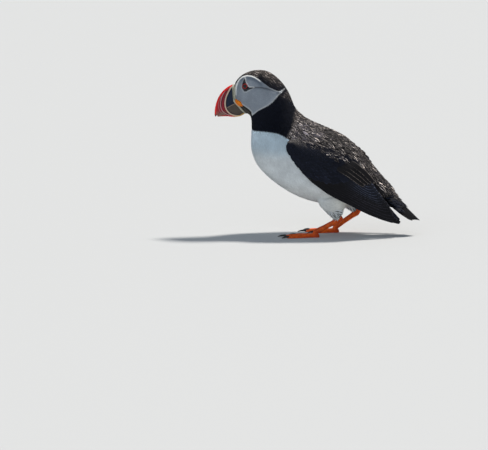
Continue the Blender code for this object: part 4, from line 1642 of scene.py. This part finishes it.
# %% [markdown]
# ## Tail
# A puffin's tail is short and slightly arched, like a roof. The quills lie on that roof.

# %% Make the roof of the tail
TAIL_ROOT, TAIL_TIP = np.array((80.0, 56.0)), np.array((119.0, 17.6))
TAIL_RUN = TAIL_TIP - TAIL_ROOT


def tail_roof(s, y):
    """A place on the tail's upper face, in mm: s runs from its root, 0, to its tip, 1."""
    s, y = np.broadcast_arrays(s, y)
    arch = 0.062 - 0.008 * np.clip(s, 0, 1)
    x, z = TAIL_ROOT[0] + TAIL_RUN[0] * s, TAIL_ROOT[1] + TAIL_RUN[1] * s
    return np.stack([x, y, z - arch * y**2], -1)


s, y = np.meshgrid(np.linspace(-0.25, 1.12, 34), np.linspace(-20, 20, 24), indexing="ij")
mesh = facing(new_mesh("tail sheet", tail_roof(s, y).reshape(-1, 3) * MM, grid_faces(*s.shape)), (0, 0, 1))
note(mesh, outward=outward(mesh))
tail_bed = shown("tail sheet", mesh)
unwrapped(tail_bed)
print("tail from root to tip, mm:", round(np.linalg.norm(TAIL_RUN), 1))

# %% [markdown]
# Fourteen short black quills make the fan. The middle pair lies on top and is the longest.

# %% Lay the tail
TAIL_COUNT = 14


def tail_path(place):
    """The path of a tail feather: place is -1 for the leftmost and 1 for the rightmost."""
    s = np.linspace(-0.10, 1.0 - 0.20 * abs(place) ** 1.6, 22)
    return tail_roof(s, place * (14.0 + 1.5 * s - 8.0 * s**2))


fan = (np.arange(TAIL_COUNT) - 6.5) / 6.5
tail = quills(
    "tail_feathers", [tail_path(place) for place in fan], tail_bed, wide=6.6,
    lift=0.5 - 1.1 * np.abs(fan), lean=np.sign(fan), face=(0.65, 0, 0.76), tint=QUILL * 0.6,
    fringe=QUILL * 2.6, tilt=0.8, sunk=0.6, thickness=0.2,
)
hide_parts("tail")

# %% [markdown]
# The tail's coverts go on from the rump, brown-edged at first and black further out.

# %% Lay the tail coverts
bed_places = places(tail_bed.data)
share = ((side_view(bed_places) - TAIL_ROOT) @ TAIL_RUN) / (TAIL_RUN @ TAIL_RUN)
roots = roots_on(tail_bed, (share > -0.2) & (share < 0.42) & (np.abs(bed_places[:, 1]) < 14.5 * MM), 2.3, 8)
at = places(roots)
x, y, _ = (at / MM).T
brown = (1 - eased(x, 83.0, 91.0)) * (1 - eased(-y, 5.0, 9.0))
coat(
    "tail_coverts", tail_bed, roots, long_vanes, scaly_plumage, long=11.0, wide=4.6,
    lift=1.3 + 2.2 * eased(x, 96.0, 80.0), seed=55, scatter=0.08, sunk=-0.4,
    along=lie(at, noted(roots, "outward")),
    tint=(
        BLACK * 1.1 + (MANTLE - BLACK) * brown[:, None],
        BLACK * 2.2 + (FRINGE * 0.8 - BLACK) * brown[:, None],
    ),
)

# %% [markdown]
# ## Horn and bare skin
# Horn is smooth but not polished. It has a thin gloss, faint growth lines and small flakes.
# Bare skin has small scales, whose seams are the edges of Voronoi cells. One finish serves
# both, and reads its colours from the mesh.


# %% Make the horn and skin finishes
def painted_finish(
    name, roughness, coat=0.0, grain=0.0, scale=600.0, mottle=0.12, under=0.0, bump=0.25,
    depth=0.00015, shine=0.4,
):
    """`grain` is how dark the seams between scales are, and `under` how far light sinks in."""
    made, tree, shader = new_finish(name)
    broad, small = noise(tree, scale * 0.25, 5.0, 0.65), noise(tree, scale * 2.0, 4.0, 0.7)
    spot = put(tree, "ShaderNodeTexCoord")["Object"]
    cells = put(tree, "ShaderNodeTexVoronoi", {"Vector": spot, "Scale": scale}, feature="DISTANCE_TO_EDGE")
    seams = cells["Distance"].stepped(0.0, 0.09, 1.0 - grain, 1.0)
    level = broad.stepped(0.28, 0.72, 1.0 - mottle, 1.0 + mottle) * seams
    relief = small * 0.5 + seams * (1.0 if grain else 0.0)
    feed(shader, {
        "Base Color": dimmed(tree, read(tree, "tint")["Color"], level),
        "Normal": put(tree, "ShaderNodeBump", {"Strength": bump, "Distance": depth, "Height": relief}),
        "Roughness": small.stepped(0.3, 0.7, roughness - 0.08, roughness + 0.08),
        "Coat Weight": coat,
        "Coat Roughness": 0.25,
        "Specular IOR Level": shine,
    })
    if under:
        sunk = {"Subsurface Weight": under, "Subsurface Radius": (0.6, 0.2, 0.1), "Subsurface Scale": 0.001}
        feed(shader, sunk)
    print("finish:", name, len(tree.nodes), "nodes")
    return made


horn_finish = painted_finish("bill horn", 0.48, coat=0.04, scale=420.0, mottle=0.10, bump=0.15, shine=0.25)
skin_finish = painted_finish(
    "bare skin", 0.50, coat=0.08, grain=0.18, scale=900.0, mottle=0.16, bump=0.4, depth=0.0002, shine=0.25
)

# %% [markdown]
# ## The bill
# A breeding puffin's bill is thin, deep plates of horn, grown one over the other, so grooves
# and raised ridges run across it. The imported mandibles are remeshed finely, and every point
# then moves in or out by a profile that depends on how far it is from each groove's line.

# %% Lines across the bill
CRESCENT = curved([
    (-99.4, 173.6), (-101.4, 170.9), (-104, 166.2), (-106.1, 161.5), (-107.2, 156.8), (-107.4, 152.1),
    (-106.6, 148), (-104.6, 144.4), (-101.7, 141.5), (-98.2, 139.9), (-93.5, 138.9), (-87.7, 139.4),
    (-84.8, 140.9),
])
GROOVE_ONE = curved([
    (-107.5, 168), (-109.6, 165), (-110.9, 162.3), (-112.2, 158.5), (-113, 153.8), (-112.8, 149.7),
    (-111.3, 145.6), (-109, 142.7), (-105.2, 140.4), (-101.1, 139.2), (-97.6, 138.6),
])
GROOVE_TWO = curved([
    (-111.9, 161.5), (-113.9, 158), (-115.1, 155), (-115.6, 150.9), (-114.8, 146.8), (-113, 143.3),
    (-109.8, 140.9), (-106.9, 139.8),
])
CULMEN = curved([
    (-98.7, 175.4), (-104.5, 172.2), (-110.5, 167), (-115.3, 160.1), (-118.3, 152), (-119.6, 144.6),
    (-119.7, 139.6),
])
KEEL = curved([(-84.4, 141.9), (-90, 138.6), (-97, 137.5), (-104.5, 138.2), (-111.3, 138), (-116, 137.7)])
CUT = [(-97.2, 156.4), (-101.5, 152.7), (-106.1, 148.9), (-110.3, 145.1), (-114.2, 141.7), (-118, 138.3)]
PLATE = [*CRESCENT, (-82, 141), (-90, 150), (-97, 157), (-97, 176.5)]
MOUTH_CREAM = [(-105.2, 148.6), (-101.6, 150.6), (-98.2, 152.4), (-96, 153.4)]
BILL_TIP = (-119.5, 138.6)
print("points along the crescent:", len(CRESCENT))

# %% [markdown]
# The bill is bright only while the bird breeds. Its side is painted deep red as shade, and
# painted shade makes it almost black in the grooves.

# %% Colours of the bill
RED = rgb(0.78, 0.010, 0.006)
# The red horn's side in painted shade.
SHADED_RED = rgb(0.26, 0.008, 0.022)
BLACK_RED = rgb(0.030, 0.010, 0.016)
CREAM = rgb(0.60, 0.45, 0.34)
PALE_LINE = rgb(0.55, 0.36, 0.36)
SLATE = rgb(0.004, 0.012, 0.034)
HORN_BROWN = rgb(0.070, 0.055, 0.045)
# The lower tip of the bill in painted shade.
TIP_SHADE_BROWN = rgb(0.21, 0.125, 0.095)
AMBER = rgb(0.60, 0.34, 0.09)
print("red of the bill's ridge:", RED)

# %% [markdown]
# The same distances colour the horn. In front of the cream crescent lies red horn, painted
# dark red as shade and crossed by two pale lines, and painted bright red as a sunlit highlight
# along the ridge of the bill.


# %% Colour the horn in front of the crescent
def front_horn(xz, crescent, one, two, ahead, upper):
    x, z = xz.T
    streaks = 1 + 0.30 * np.sin(crescent * 6.0 + 0.4 * np.sin(z))
    # Painted shade: the side of the red horn is deep red.
    colour = SHADED_RED * streaks[:, None]
    between = ahead & (crescent < one + 4.5) & (x > np.interp(z, [139, 154, 168], [-106, -113.5, -109]))
    low_tip_shade = eased(z, 146.0, 141.5) * (1 - eased(x, -110.0, -105.0))
    for own, share in (
        # A painted sunlit highlight brightens the red towards the ridge.
        (RED, 0.30 * eased(from_line(xz, CULMEN), 6.0, 1.5) * upper),
        (BLACK_RED, 0.85 * band(np.abs(one - 1.3), 0.55) * between),
        # Painted shade, almost black, in the groove in front of the crescent.
        (BLACK_RED, 0.55 * band(np.abs(crescent - 1.5), 0.35, 0.3) * ahead),
        # Painted shade on the lower tip.
        (TIP_SHADE_BROWN, low_tip_shade * (0.55 if upper else 0.9)),
        (PALE_LINE, 0.90 * band(one, 0.34, 0.25) * eased(-x, 99.0, 104.0)),
        (PALE_LINE * 0.8, 0.65 * band(two, 0.24, 0.25)),
    ):
        colour = laid_over(colour, own, share)
    return colour


# %% [markdown]
# Behind the crescent lies the slate plate of the upper mandible and a browner one below. The
# upper edge of the bill is red, painted bright as a sunlit highlight, and the lower one turns
# amber towards its base.


# %% Colour the whole bill
SPLIT = ([-107, -105.2, -101.6, -98.2, -96, -80], [147.6, 148.6, 150.6, 152.4, 153.4, 153.4])


def plate_horn(xz, crescent):
    x, z = xz.T
    plate = laid_over(HORN_BROWN, SLATE, eased(z - np.interp(x, *SPLIT), -0.2, 0.2))
    plate = laid_over(plate, CREAM * 0.42, 0.9 * band(from_line(xz, MOUTH_CREAM), 0.38, 0.25))
    # Painted shade in the groove behind the crescent.
    return laid_over(plate, SLATE * 0.45, 0.8 * band(np.abs(crescent - 1.2), 0.4, 0.4))


def horn_colour(xz, crescent, one, two, behind, upper):
    """Colours of the horn at each place of a mandible."""
    colour = front_horn(xz, crescent, one, two, behind < 0, upper)
    colour = laid_over(colour, plate_horn(xz, crescent), eased(behind, -0.2, 0.2))
    colour = laid_over(colour, CREAM, band(crescent, 0.72, 0.28))
    if upper:
        # A painted sunlit highlight: bright red along the ridge.
        colour = laid_over(colour, RED, band(from_line(xz, CULMEN), 1.45, 0.4))
        return laid_over(colour, BLACK_RED, 0.8 * eased(np.linalg.norm(xz - BILL_TIP, axis=1), 3.0, 1.0))
    rim = laid_over(RED * 0.8, AMBER, eased(xz[:, 0], -101.0, -95.0))
    return laid_over(colour, rim, band(from_line(xz, KEEL), 1.1, 0.5) * (1 - 0.7 * (xz[:, 0] < -111)))


# %% [markdown]
# Carving comes last, because the colours above and the relief below share their distances.

# %% Carve the bill
TOUCH = 0.30  # mm by which the lower mandible's top rises to meet the upper one


def bill_relief(xz, crescent, one, two, behind):
    """How far the horn stands out, in mm."""
    ridge = 0.34 * band(crescent, 0.9, 0.5) - 0.42 * band(np.abs(crescent - 1.6), 0.35)
    grooves = 0.36 * band(one, 0.45, 0.4) + 0.30 * band(two, 0.40, 0.4)
    swell = 0.16 * band(np.abs(one - 1.3), 0.5, 0.5) - 0.22 * band(from_line(xz, CUT), 0.25, 0.3)
    return ridge - grooves + swell + 0.05 * np.sin(crescent * 7.0) * (behind < 0)


for node, upper, slot in (("bill_upper", True, "bill_red"), ("bill_lower", False, "bill_slate")):
    horn = fused(f"{node}_horn", [node], 0.24, 0.30, 3)
    points, ways = places(horn.data), outward(horn.data)
    xz = side_view(points)
    crescent, one, two = (from_line(xz, line) for line in (CRESCENT, GROOVE_ONE, GROOVE_TWO))
    behind = inside(xz, PLATE)
    relief = bill_relief(xz, crescent, one, two, behind) * np.clip(np.abs(ways[:, 1]), 0, 1)
    points = points + ways * (relief * MM)[:, None]
    points[:, 2] += (0.0 if upper else TOUCH) * MM * np.clip(ways[:, 2], 0, 1)
    move(horn.data, points)
    note(horn.data, tint=horn_colour(xz, crescent, one, two, behind, upper))
    shade(horn.data, horn_finish)
    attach(horn, "root")
    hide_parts(node)
    print(node, triangles(horn.data), "triangles")

# %% [markdown]
# The bill ends in a fleshy ridge against the face, pale and pitted with fine pores. It laps
# over the horn and meets the face.

# %% Make the ridge at the bill's base
BASE_LINE = [
    (-98.2, 177.4), (-99.6, 172), (-100.2, 167.5), (-99.9, 162.4), (-98.3, 158.2), (-95.5, 154.9),
    (-91.8, 151.2), (-88.2, 146.6), (-84, 142.2),
]
RIDGE_PALE, RIDGE_DARK = rgb(0.46, 0.45, 0.36), rgb(0.21, 0.205, 0.150)

ridge = fused("bill_ridge", ["bill_base"], 0.0, 0.34, 3)
points, ways = places(ridge.data), outward(ridge.data)
xz = side_view(points)
run, off_line = np.arctan2(xz[:, 1] - 150.0, xz[:, 0] + 85.0) * 30.0, from_line(xz, BASE_LINE)
pores = np.clip(np.sin(run * 5.0), 0, 1) ** 4 * np.clip(np.sin(off_line * 4.0 + 0.6), 0, 1) ** 2
points = points + ways * ((0.25 * band(off_line, 0.9, 0.7) - 0.22 * pores) * MM)[:, None]
points[:, 0] += (2.2 * np.clip(ways[:, 0], 0, 1) - 1.2) * MM
points[:, 2] -= 1.8 * MM * eased(xz[:, 1], 171.0, 177.0)
move(ridge.data, points)
xz = side_view(points)
off_line, below = from_line(xz, BASE_LINE), eased(156.0 - xz[:, 1], 0.0, 4.0)
back_part = laid_over(RIDGE_DARK, CHIN * 0.8, below)
colour = laid_over(RIDGE_PALE, RIDGE_DARK, band(np.abs(off_line - 1.9), 0.7, 0.4) * (1 - below))
colour = laid_over(colour, back_part, eased(off_line, 0.75, 1.15) * below)
note(ridge.data, tint=laid_over(colour, RIDGE_DARK * 0.7, 0.7 * pores))
shade(ridge.data, horn_finish)
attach(ridge, "root")
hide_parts("bill_base")
print("ridge", triangles(ridge.data), "triangles")

# %% [markdown]
# ## Rosettes
# At each corner of the mouth sits a rosette of folded orange skin. It is a small dome whose
# height is waved, with the folds curving round its longer axis. Like the plates round the
# eye, it is a round grid of points set on the head.

# %% Helpers for pieces set on the head
skin_tree = tree_of(skin.data)


def head_spot(x, z, side):
    """A place on the skin in side view, with its normal."""
    hit, normal = side_hit(skin_tree, x, z, side)
    if hit is None:
        near = skin_tree.find_nearest(Vector((x * MM, side * 8 * MM, z * MM)))[0]
        hit, normal = Vector((x * MM, near.y, z * MM)), Vector((0, side, 0))
    return np.array(hit), np.array(normal if normal.y * side > 0 else -normal)


def round_piece(name, points, colours, spokes, finish, side):
    """A piece on the head from rings of points, the middle one first."""
    faces = grid_faces(len(points) // spokes, spokes, round_columns=True)
    mesh = facing(closed_mesh(name, points, faces), (0, side, 0))
    note(mesh, tint=colours)
    shade(mesh, finish)
    print(name, triangles(mesh), "triangles")
    return shown(name, mesh)


# %% [markdown]
# The folds are a wave across the rosette, and a deep split runs along its middle.

# %% Make the rosettes
ROSETTE_LOW, ROSETTE_HIGH = rgb(0.56, 0.100, 0.002), rgb(0.86, 0.255, 0.004)
ROSETTE_RINGS, ROSETTE_SPOKES = 14, 56


def rosette_point(radius, angle, side):
    """One point of the rosette and its colour."""
    bulge = 1 + 0.07 * math.sin(5 * angle + 0.6) * radius
    a = ROSETTE_HALF[0] * bulge * radius * math.cos(angle)
    b = ROSETTE_HALF[1] * bulge * radius * math.sin(angle)
    at, normal = head_spot(*(ROSETTE_CENTRE + turned(a, b, ROSETTE_TURN)), side)
    folds = math.sin(b * 5.2 + 0.9 * math.sin(a * 1.1)) * 0.5 + 0.5
    split = math.exp(-((b / 0.35) ** 2)) * (1 - radius**4)
    dome = 1.9 * (1 - radius**3.0) ** 0.7 + 0.42 * folds * (1 - radius**6) - 0.75 * split
    lit = min(1.0, folds * 0.75 + 0.25) * (1 - 0.55 * split)
    return at + normal * (dome - 0.35) * MM, ROSETTE_LOW + (ROSETTE_HIGH - ROSETTE_LOW) * lit


for side, word in SIDES:
    points, colours = zip(*(
        rosette_point(ring / ROSETTE_RINGS, 2 * math.pi * spoke / ROSETTE_SPOKES, side)
        for ring in range(ROSETTE_RINGS + 1)
        for spoke in range(ROSETTE_SPOKES)
    ))
    rosette = round_piece(f"rosette_{word}", points, colours, ROSETTE_SPOKES, skin_finish, side)
    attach(rosette, "root")
    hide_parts(f"gape_{word}")

# %% [markdown]
# ## Eyes
# The eye is a dark glossy ball in a red ring of bare skin. A small horn plate stands above
# it like a spire and a flat one lies below, which gives the puffin its three-cornered eye.

# %% Make the plates round the eye
SPIRE = [
    (-86.6, 177.8), (-85.8, 180.4), (-84.4, 183.5), (-83.5, 181.4), (-82.6, 179.4), (-82.1, 177.9),
    (-84.2, 178.4),
]
BAR = [
    (-86.9, 171.9), (-85.5, 170.2), (-83.9, 169), (-81.6, 169.6), (-76.9, 172.3), (-79.6, 173),
    (-81.4, 171.8), (-84, 171),
]
PLATES = (("eye_spire", SPIRE, 1.0, "eye_horn"), ("eye_plate", BAR, 0.9, "eye_bar"))  # height in mm
PLATE_SLATE = rgb(0.010, 0.014, 0.020)
PLATE_RINGS, PLATE_SPOKES = 7, 48
plate_finish = painted_finish("eye plate horn", 0.50, coat=0.05, scale=700.0, mottle=0.25, bump=0.3)


def smooth_outline(outline):
    """A closed outline with rounded corners, as evenly spaced places."""
    ring = np.array([*outline, outline[0]], float)
    run = run_along(ring)
    marks = np.linspace(0, run[-1], PLATE_SPOKES, endpoint=False)
    even = np.stack([np.interp(marks, run, ring[:, 0]), np.interp(marks, run, ring[:, 1])], 1)
    for _ in range(2):
        even = 0.5 * even + 0.25 * (np.roll(even, 1, 0) + np.roll(even, -1, 0))
    return even


def eye_plate(name, outline, height, side):
    """A low cushion of horn on the head, with an outline in side view."""
    edge = smooth_outline(outline)
    middle, points = edge.mean(0), []
    for share in np.arange(PLATE_RINGS + 1) / PLATE_RINGS:
        for spot in middle + (edge - middle) * share:
            at, normal = head_spot(*spot, side)
            points.append(at + normal * (height * (1 - share**4) ** 0.5 - 0.3) * MM)
    return round_piece(name, points, PLATE_SLATE, PLATE_SPOKES, plate_finish, side)


for side, word in SIDES:
    for name, outline, height, node in PLATES:
        plate = eye_plate(f"{name}_{word}", outline, height, side)
        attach(plate, "root")
        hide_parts(f"{node}_{word}")

# %% [markdown]
# The ball is a sphere set into the head. Its mesh keeps the colours of the pupil, the dark
# iris and the edge, by the distance from the eye's axis. The finish adds rays and gloss.

# %% Make the finish of the eye
eye_gloss, tree, shader = new_finish("eye")
level = noise(tree, 2500.0, 3.0).stepped(0.3, 0.7, 0.7, 1.3)
feed(shader, {
    "Base Color": dimmed(tree, read(tree, "tint")["Color"], level),
    "Roughness": 0.08,
    "Coat Weight": 0.45,
    "Coat Roughness": 0.02,
    "Specular IOR Level": 0.2,
})


def eye_axis(side):
    """Where the eye sits on the head, and where it looks: out, a little with the head."""
    at, normal = head_spot(*EYE_AT, side)
    return Vector(at), Vector(normal).lerp(Vector((0, side, 0)), 0.35).normalized()


print("left eye looks", [round(v, 2) for v in eye_axis(LEFT)[1]])

# %% [markdown]
# A sphere of 48 by 32 faces is fine enough for a clean highlight.

# %% Make the eyeballs
EYE_BALL, EYE_SUNK = 3.3, 1.9  # mm
IRIS_HALF, PUPIL_HALF = 2.55, 1.25  # mm
PUPIL, IRIS, EYE_RIM = rgb(0.002, 0.002, 0.003), rgb(0.006, 0.010, 0.014), rgb(0.004, 0.004, 0.005)

for side, word in SIDES:
    at, axis = eye_axis(side)
    centre = at - axis * EYE_SUNK * MM
    work = bmesh.new()
    bmesh.ops.create_uvsphere(work, u_segments=48, v_segments=32, radius=EYE_BALL * MM)
    upright = Vector((0, 0, 1)).rotation_difference(axis).to_matrix()
    bmesh.ops.transform(work, matrix=upright.to_4x4(), verts=work.verts)
    bmesh.ops.translate(work, vec=centre, verts=work.verts)
    mesh = bpy.data.meshes.new(f"eyeball_{word}")
    work.to_mesh(mesh)
    off = places(mesh) / MM - np.array(centre) / MM
    off_axis = np.linalg.norm(off - np.outer(off @ np.array(axis), np.array(axis)), axis=1)
    colour = laid_over(EYE_RIM, IRIS, band(off_axis, IRIS_HALF, 0.2))
    note(mesh, tint=laid_over(colour, PUPIL, band(off_axis, PUPIL_HALF, 0.12)))
    shade(mesh, eye_gloss)
    ball = shown(f"eyeball_{word}", mesh)
    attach(ball, "root")
    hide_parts(f"eye_{word}")
    print("eyeball", word, triangles(mesh), "triangles")

# %% [markdown]
# The red ring is a thin tube round the eye, slightly beaded.

# %% Make the eye rings
RING_RED = rgb(0.42, 0.020, 0.012)
RING_HALF, RING_TUBE, RING_RISE = 3.05, 0.42, 0.46  # mm
RING_BEADS, AROUND, TUBE_SIDES = 17, 56, 12


def ring_points(at, axis):
    across = Vector((0, 0, 1)).cross(axis).normalized()
    upward = axis.cross(across).normalized()
    for j in range(TUBE_SIDES):
        up, out = math.sin(2 * math.pi * j / TUBE_SIDES), math.cos(2 * math.pi * j / TUBE_SIDES)
        for i in range(AROUND):
            angle = 2 * math.pi * i / AROUND
            rise = 0.30 + RING_RISE * up * (1 + 0.10 * math.sin(angle * RING_BEADS))
            way = across * math.cos(angle) + upward * math.sin(angle)
            yield at + axis * rise * MM + way * (RING_HALF - RING_TUBE + RING_TUBE * out) * MM


for side, word in SIDES:
    faces = grid_faces(TUBE_SIDES, AROUND, round_rows=True, round_columns=True)
    mesh = closed_mesh(f"eye_ring_{word}", list(ring_points(*eye_axis(side))), faces)
    note(mesh, tint=RING_RED)
    shade(mesh, skin_finish)
    ring = shown(f"eye_ring_{word}", mesh)
    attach(ring, "root")
    print("eye ring", word, triangles(mesh), "triangles")

# %% [markdown]
# ## Legs, webs and claws
# Tarsus and foot are one orange skin. Rows of scutes run down the front of the tarsus and
# along each toe, and small round scales cover the rest, in the finish. The webs sag a little
# between the toes and show faint creases.

# %% Find the toes
LEGS = {  # the heel and the foot's joint, in mm
    "left": ((26.8, -21.0, 20.8), (-1.0, -22.0, 6.4)),
    "right": ((47.0, 20.0, 25.0), (20.5, 20.0, 6.4)),
}
TOES = ((-21.0, 28.0), (0.0, 36.5), (20.0, 35.0))  # degrees from straight ahead, length in mm


def nearest_toe(mm, joint, side):
    """Distance from the nearest toe's line, and how far along that toe each place is."""
    best, along_toe = np.full(len(mm), 1e9), np.zeros(len(mm))
    for angle, length in TOES:
        heading = np.array((-math.cos(math.radians(angle)), side * math.sin(math.radians(angle))))
        off = mm[:, :2] - joint[:2]
        t = np.clip(off @ heading, 0, length)
        away = np.linalg.norm(off - t[:, None] * heading, axis=1)
        along_toe = np.where(away < best, t, along_toe)
        best = np.minimum(best, away)
    return best, along_toe


print("longest toe, mm:", max(length for _, length in TOES))

# %% [markdown]
# A scute is a raised bar with a narrow gap before the next one. The absolute value of a sine,
# raised to a small power, has just that profile. Dust gathers in the gaps.

# %% Make the legs
LEG_ORANGE, LEG_DEEP, LEG_DUST = rgb(0.98, 0.135, 0.008), rgb(0.45, 0.025, 0.008), rgb(0.42, 0.10, 0.030)
# Painted shade: the near, left leg is darker than the far one.
LEG_SHADE = {LEFT: 0.78, RIGHT: 1.0}
SHIN_SCUTES, TOE_SCUTE = 15, 1.9  # number, mm
leg_finish = painted_finish(
    "leg skin", 0.52, coat=0.05, grain=0.30, scale=850.0, mottle=0.22, under=0.15, bump=0.55,
    depth=0.00025, shine=0.22,
)


def scute(phase):
    return np.abs(np.sin(phase * math.pi)) ** 0.35


for side, word in SIDES:
    leg = fused(f"leg_{word}", [f"tarsus_{word}", f"foot_{word}"], 0.18, 0.42, 4)
    mesh = leg.data
    points, ways = places(mesh), outward(mesh)
    mm, upward = points / MM, np.clip(ways[:, 2], 0, 1)
    heel, joint = (np.array(v) for v in LEGS[word])
    shin = heel - joint
    up_shin = np.clip(((mm - joint) @ shin) / (shin @ shin), 0, 1.1)
    on_shin = eased(mm[:, 2], 6.5, 9.0)
    front = on_shin * np.clip(-ways[:, 0] * 0.7 + ways[:, 2] * 0.7, 0, 1) ** 1.5
    off_toe, along_toe = nearest_toe(mm, joint, side)
    on_toe = (1 - on_shin) * upward * band(off_toe, 1.9, 0.6)
    web = (1 - on_shin) * eased(off_toe, 1.8, 3.2)
    shin_scutes, toe_scutes = scute(up_shin * SHIN_SCUTES), scute(along_toe / TOE_SCUTE)
    creases = web * np.sin(along_toe * 1.9 + 0.6 * np.sin(off_toe * 1.3)) * upward
    raised = 0.26 * shin_scutes * front + 0.22 * toe_scutes * on_toe + 0.10 * creases
    points = points + ways * (raised * MM)[:, None]
    points[:, 2] = np.maximum(points[:, 2], 0.0)
    move(mesh, points)
    worn = 0.5 + 0.5 * np.sin(mm[:, 0] * 0.9 + 1.3 * np.sin(mm[:, 2] * 0.8)) * np.cos(mm[:, 1] * 1.1)
    deep = 0.45 * web + 0.30 * eased(up_shin, 0.75, 1.0) + 0.75 * on_shin * eased(ways[:, 2], 0.25, 0.75)
    gaps = front * (1 - shin_scutes) + on_toe * (1 - toe_scutes)
    # The near leg carries the painted shade.
    colour = laid_over(LEG_ORANGE * LEG_SHADE[side], LEG_DEEP, np.clip(deep, 0, 1))
    note(mesh, tint=laid_over(colour, LEG_DUST, np.clip(0.20 * worn * on_shin + 0.7 * gaps, 0, 1)))
    shade(mesh, leg_finish)
    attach(leg, "root")
    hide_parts(f"tarsus_{word}", f"foot_{word}")
    print("leg", word, triangles(mesh), "triangles")

# %% [markdown]
# The claws are black horn, worn a little browner at their points. Their roots reach back
# into the toes.

# %% Make the claws
CLAW_SET, CLAW_TIP = 2.6, 3.0  # mm that the root reaches back, and mm of worn point
CLAW_BLACK, CLAW_WORN = rgb(0.012, 0.011, 0.011), rgb(0.06, 0.045, 0.035)
claw_finish = painted_finish("claw horn", 0.35, coat=0.2, scale=900.0, mottle=0.3, bump=0.2)


def set_back(points, joint):
    """Draws the root of a claw towards the foot's joint, and leaves its point in place."""
    inward = np.array(joint[:2]) * MM - points[:, :2].mean(0)
    inward /= np.linalg.norm(inward)
    run = points[:, :2] @ inward
    points[:, :2] += np.outer(eased(run, run.min(), run.max()), inward) * CLAW_SET * MM


for node in [f"claw_{word}_{toe}" for _, word in SIDES for toe in ("inner", "middle", "outer")]:
    claw = fused(f"{node}_horn", [node], 0.05, 0.16, 3)
    points = places(claw.data)
    set_back(points, LEGS[node.split("_")[1]][1])
    move(claw.data, points)
    point = points[:, 0].min()
    note(claw.data, tint=laid_over(CLAW_BLACK, CLAW_WORN, eased(points[:, 0], point + CLAW_TIP * MM, point)))
    shade(claw.data, claw_finish)
    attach(claw, "root")
    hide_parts(node)
    print(node, triangles(claw.data), "triangles")

# %% [markdown]
# ## Floor
# A plain pale floor takes the shadow. It reaches past every view.

# %% Make the floor
corners = [(-15, -15, 0), (15, -15, 0), (15, 15, 0), (-15, 15, 0)]  # metres
floor = shown("floor", closed_mesh("floor", corners, [(0, 1, 2, 3)]))
floor_paint, _, shader = new_finish("pale floor")
feed(shader, {"Base Color": (0.52, 0.53, 0.54, 1.0), "Roughness": 0.8})
floor.data.materials.append(floor_paint)
floor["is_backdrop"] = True
print("floor corners:", len(corners))

# %% [markdown]
# ## Clean up
# The sheets and the hull only held feathers, so they go. The dressed bird's box is printed.
# The plumage may not change the bird's size.

# %% Remove the helpers and print the box
for helper in (hull, tail_bed, *sheets.values()):
    bpy.data.objects.remove(helper)
low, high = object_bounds()
print("dressed bird, mm:", [round(v / MM, 1) for v in high - low])
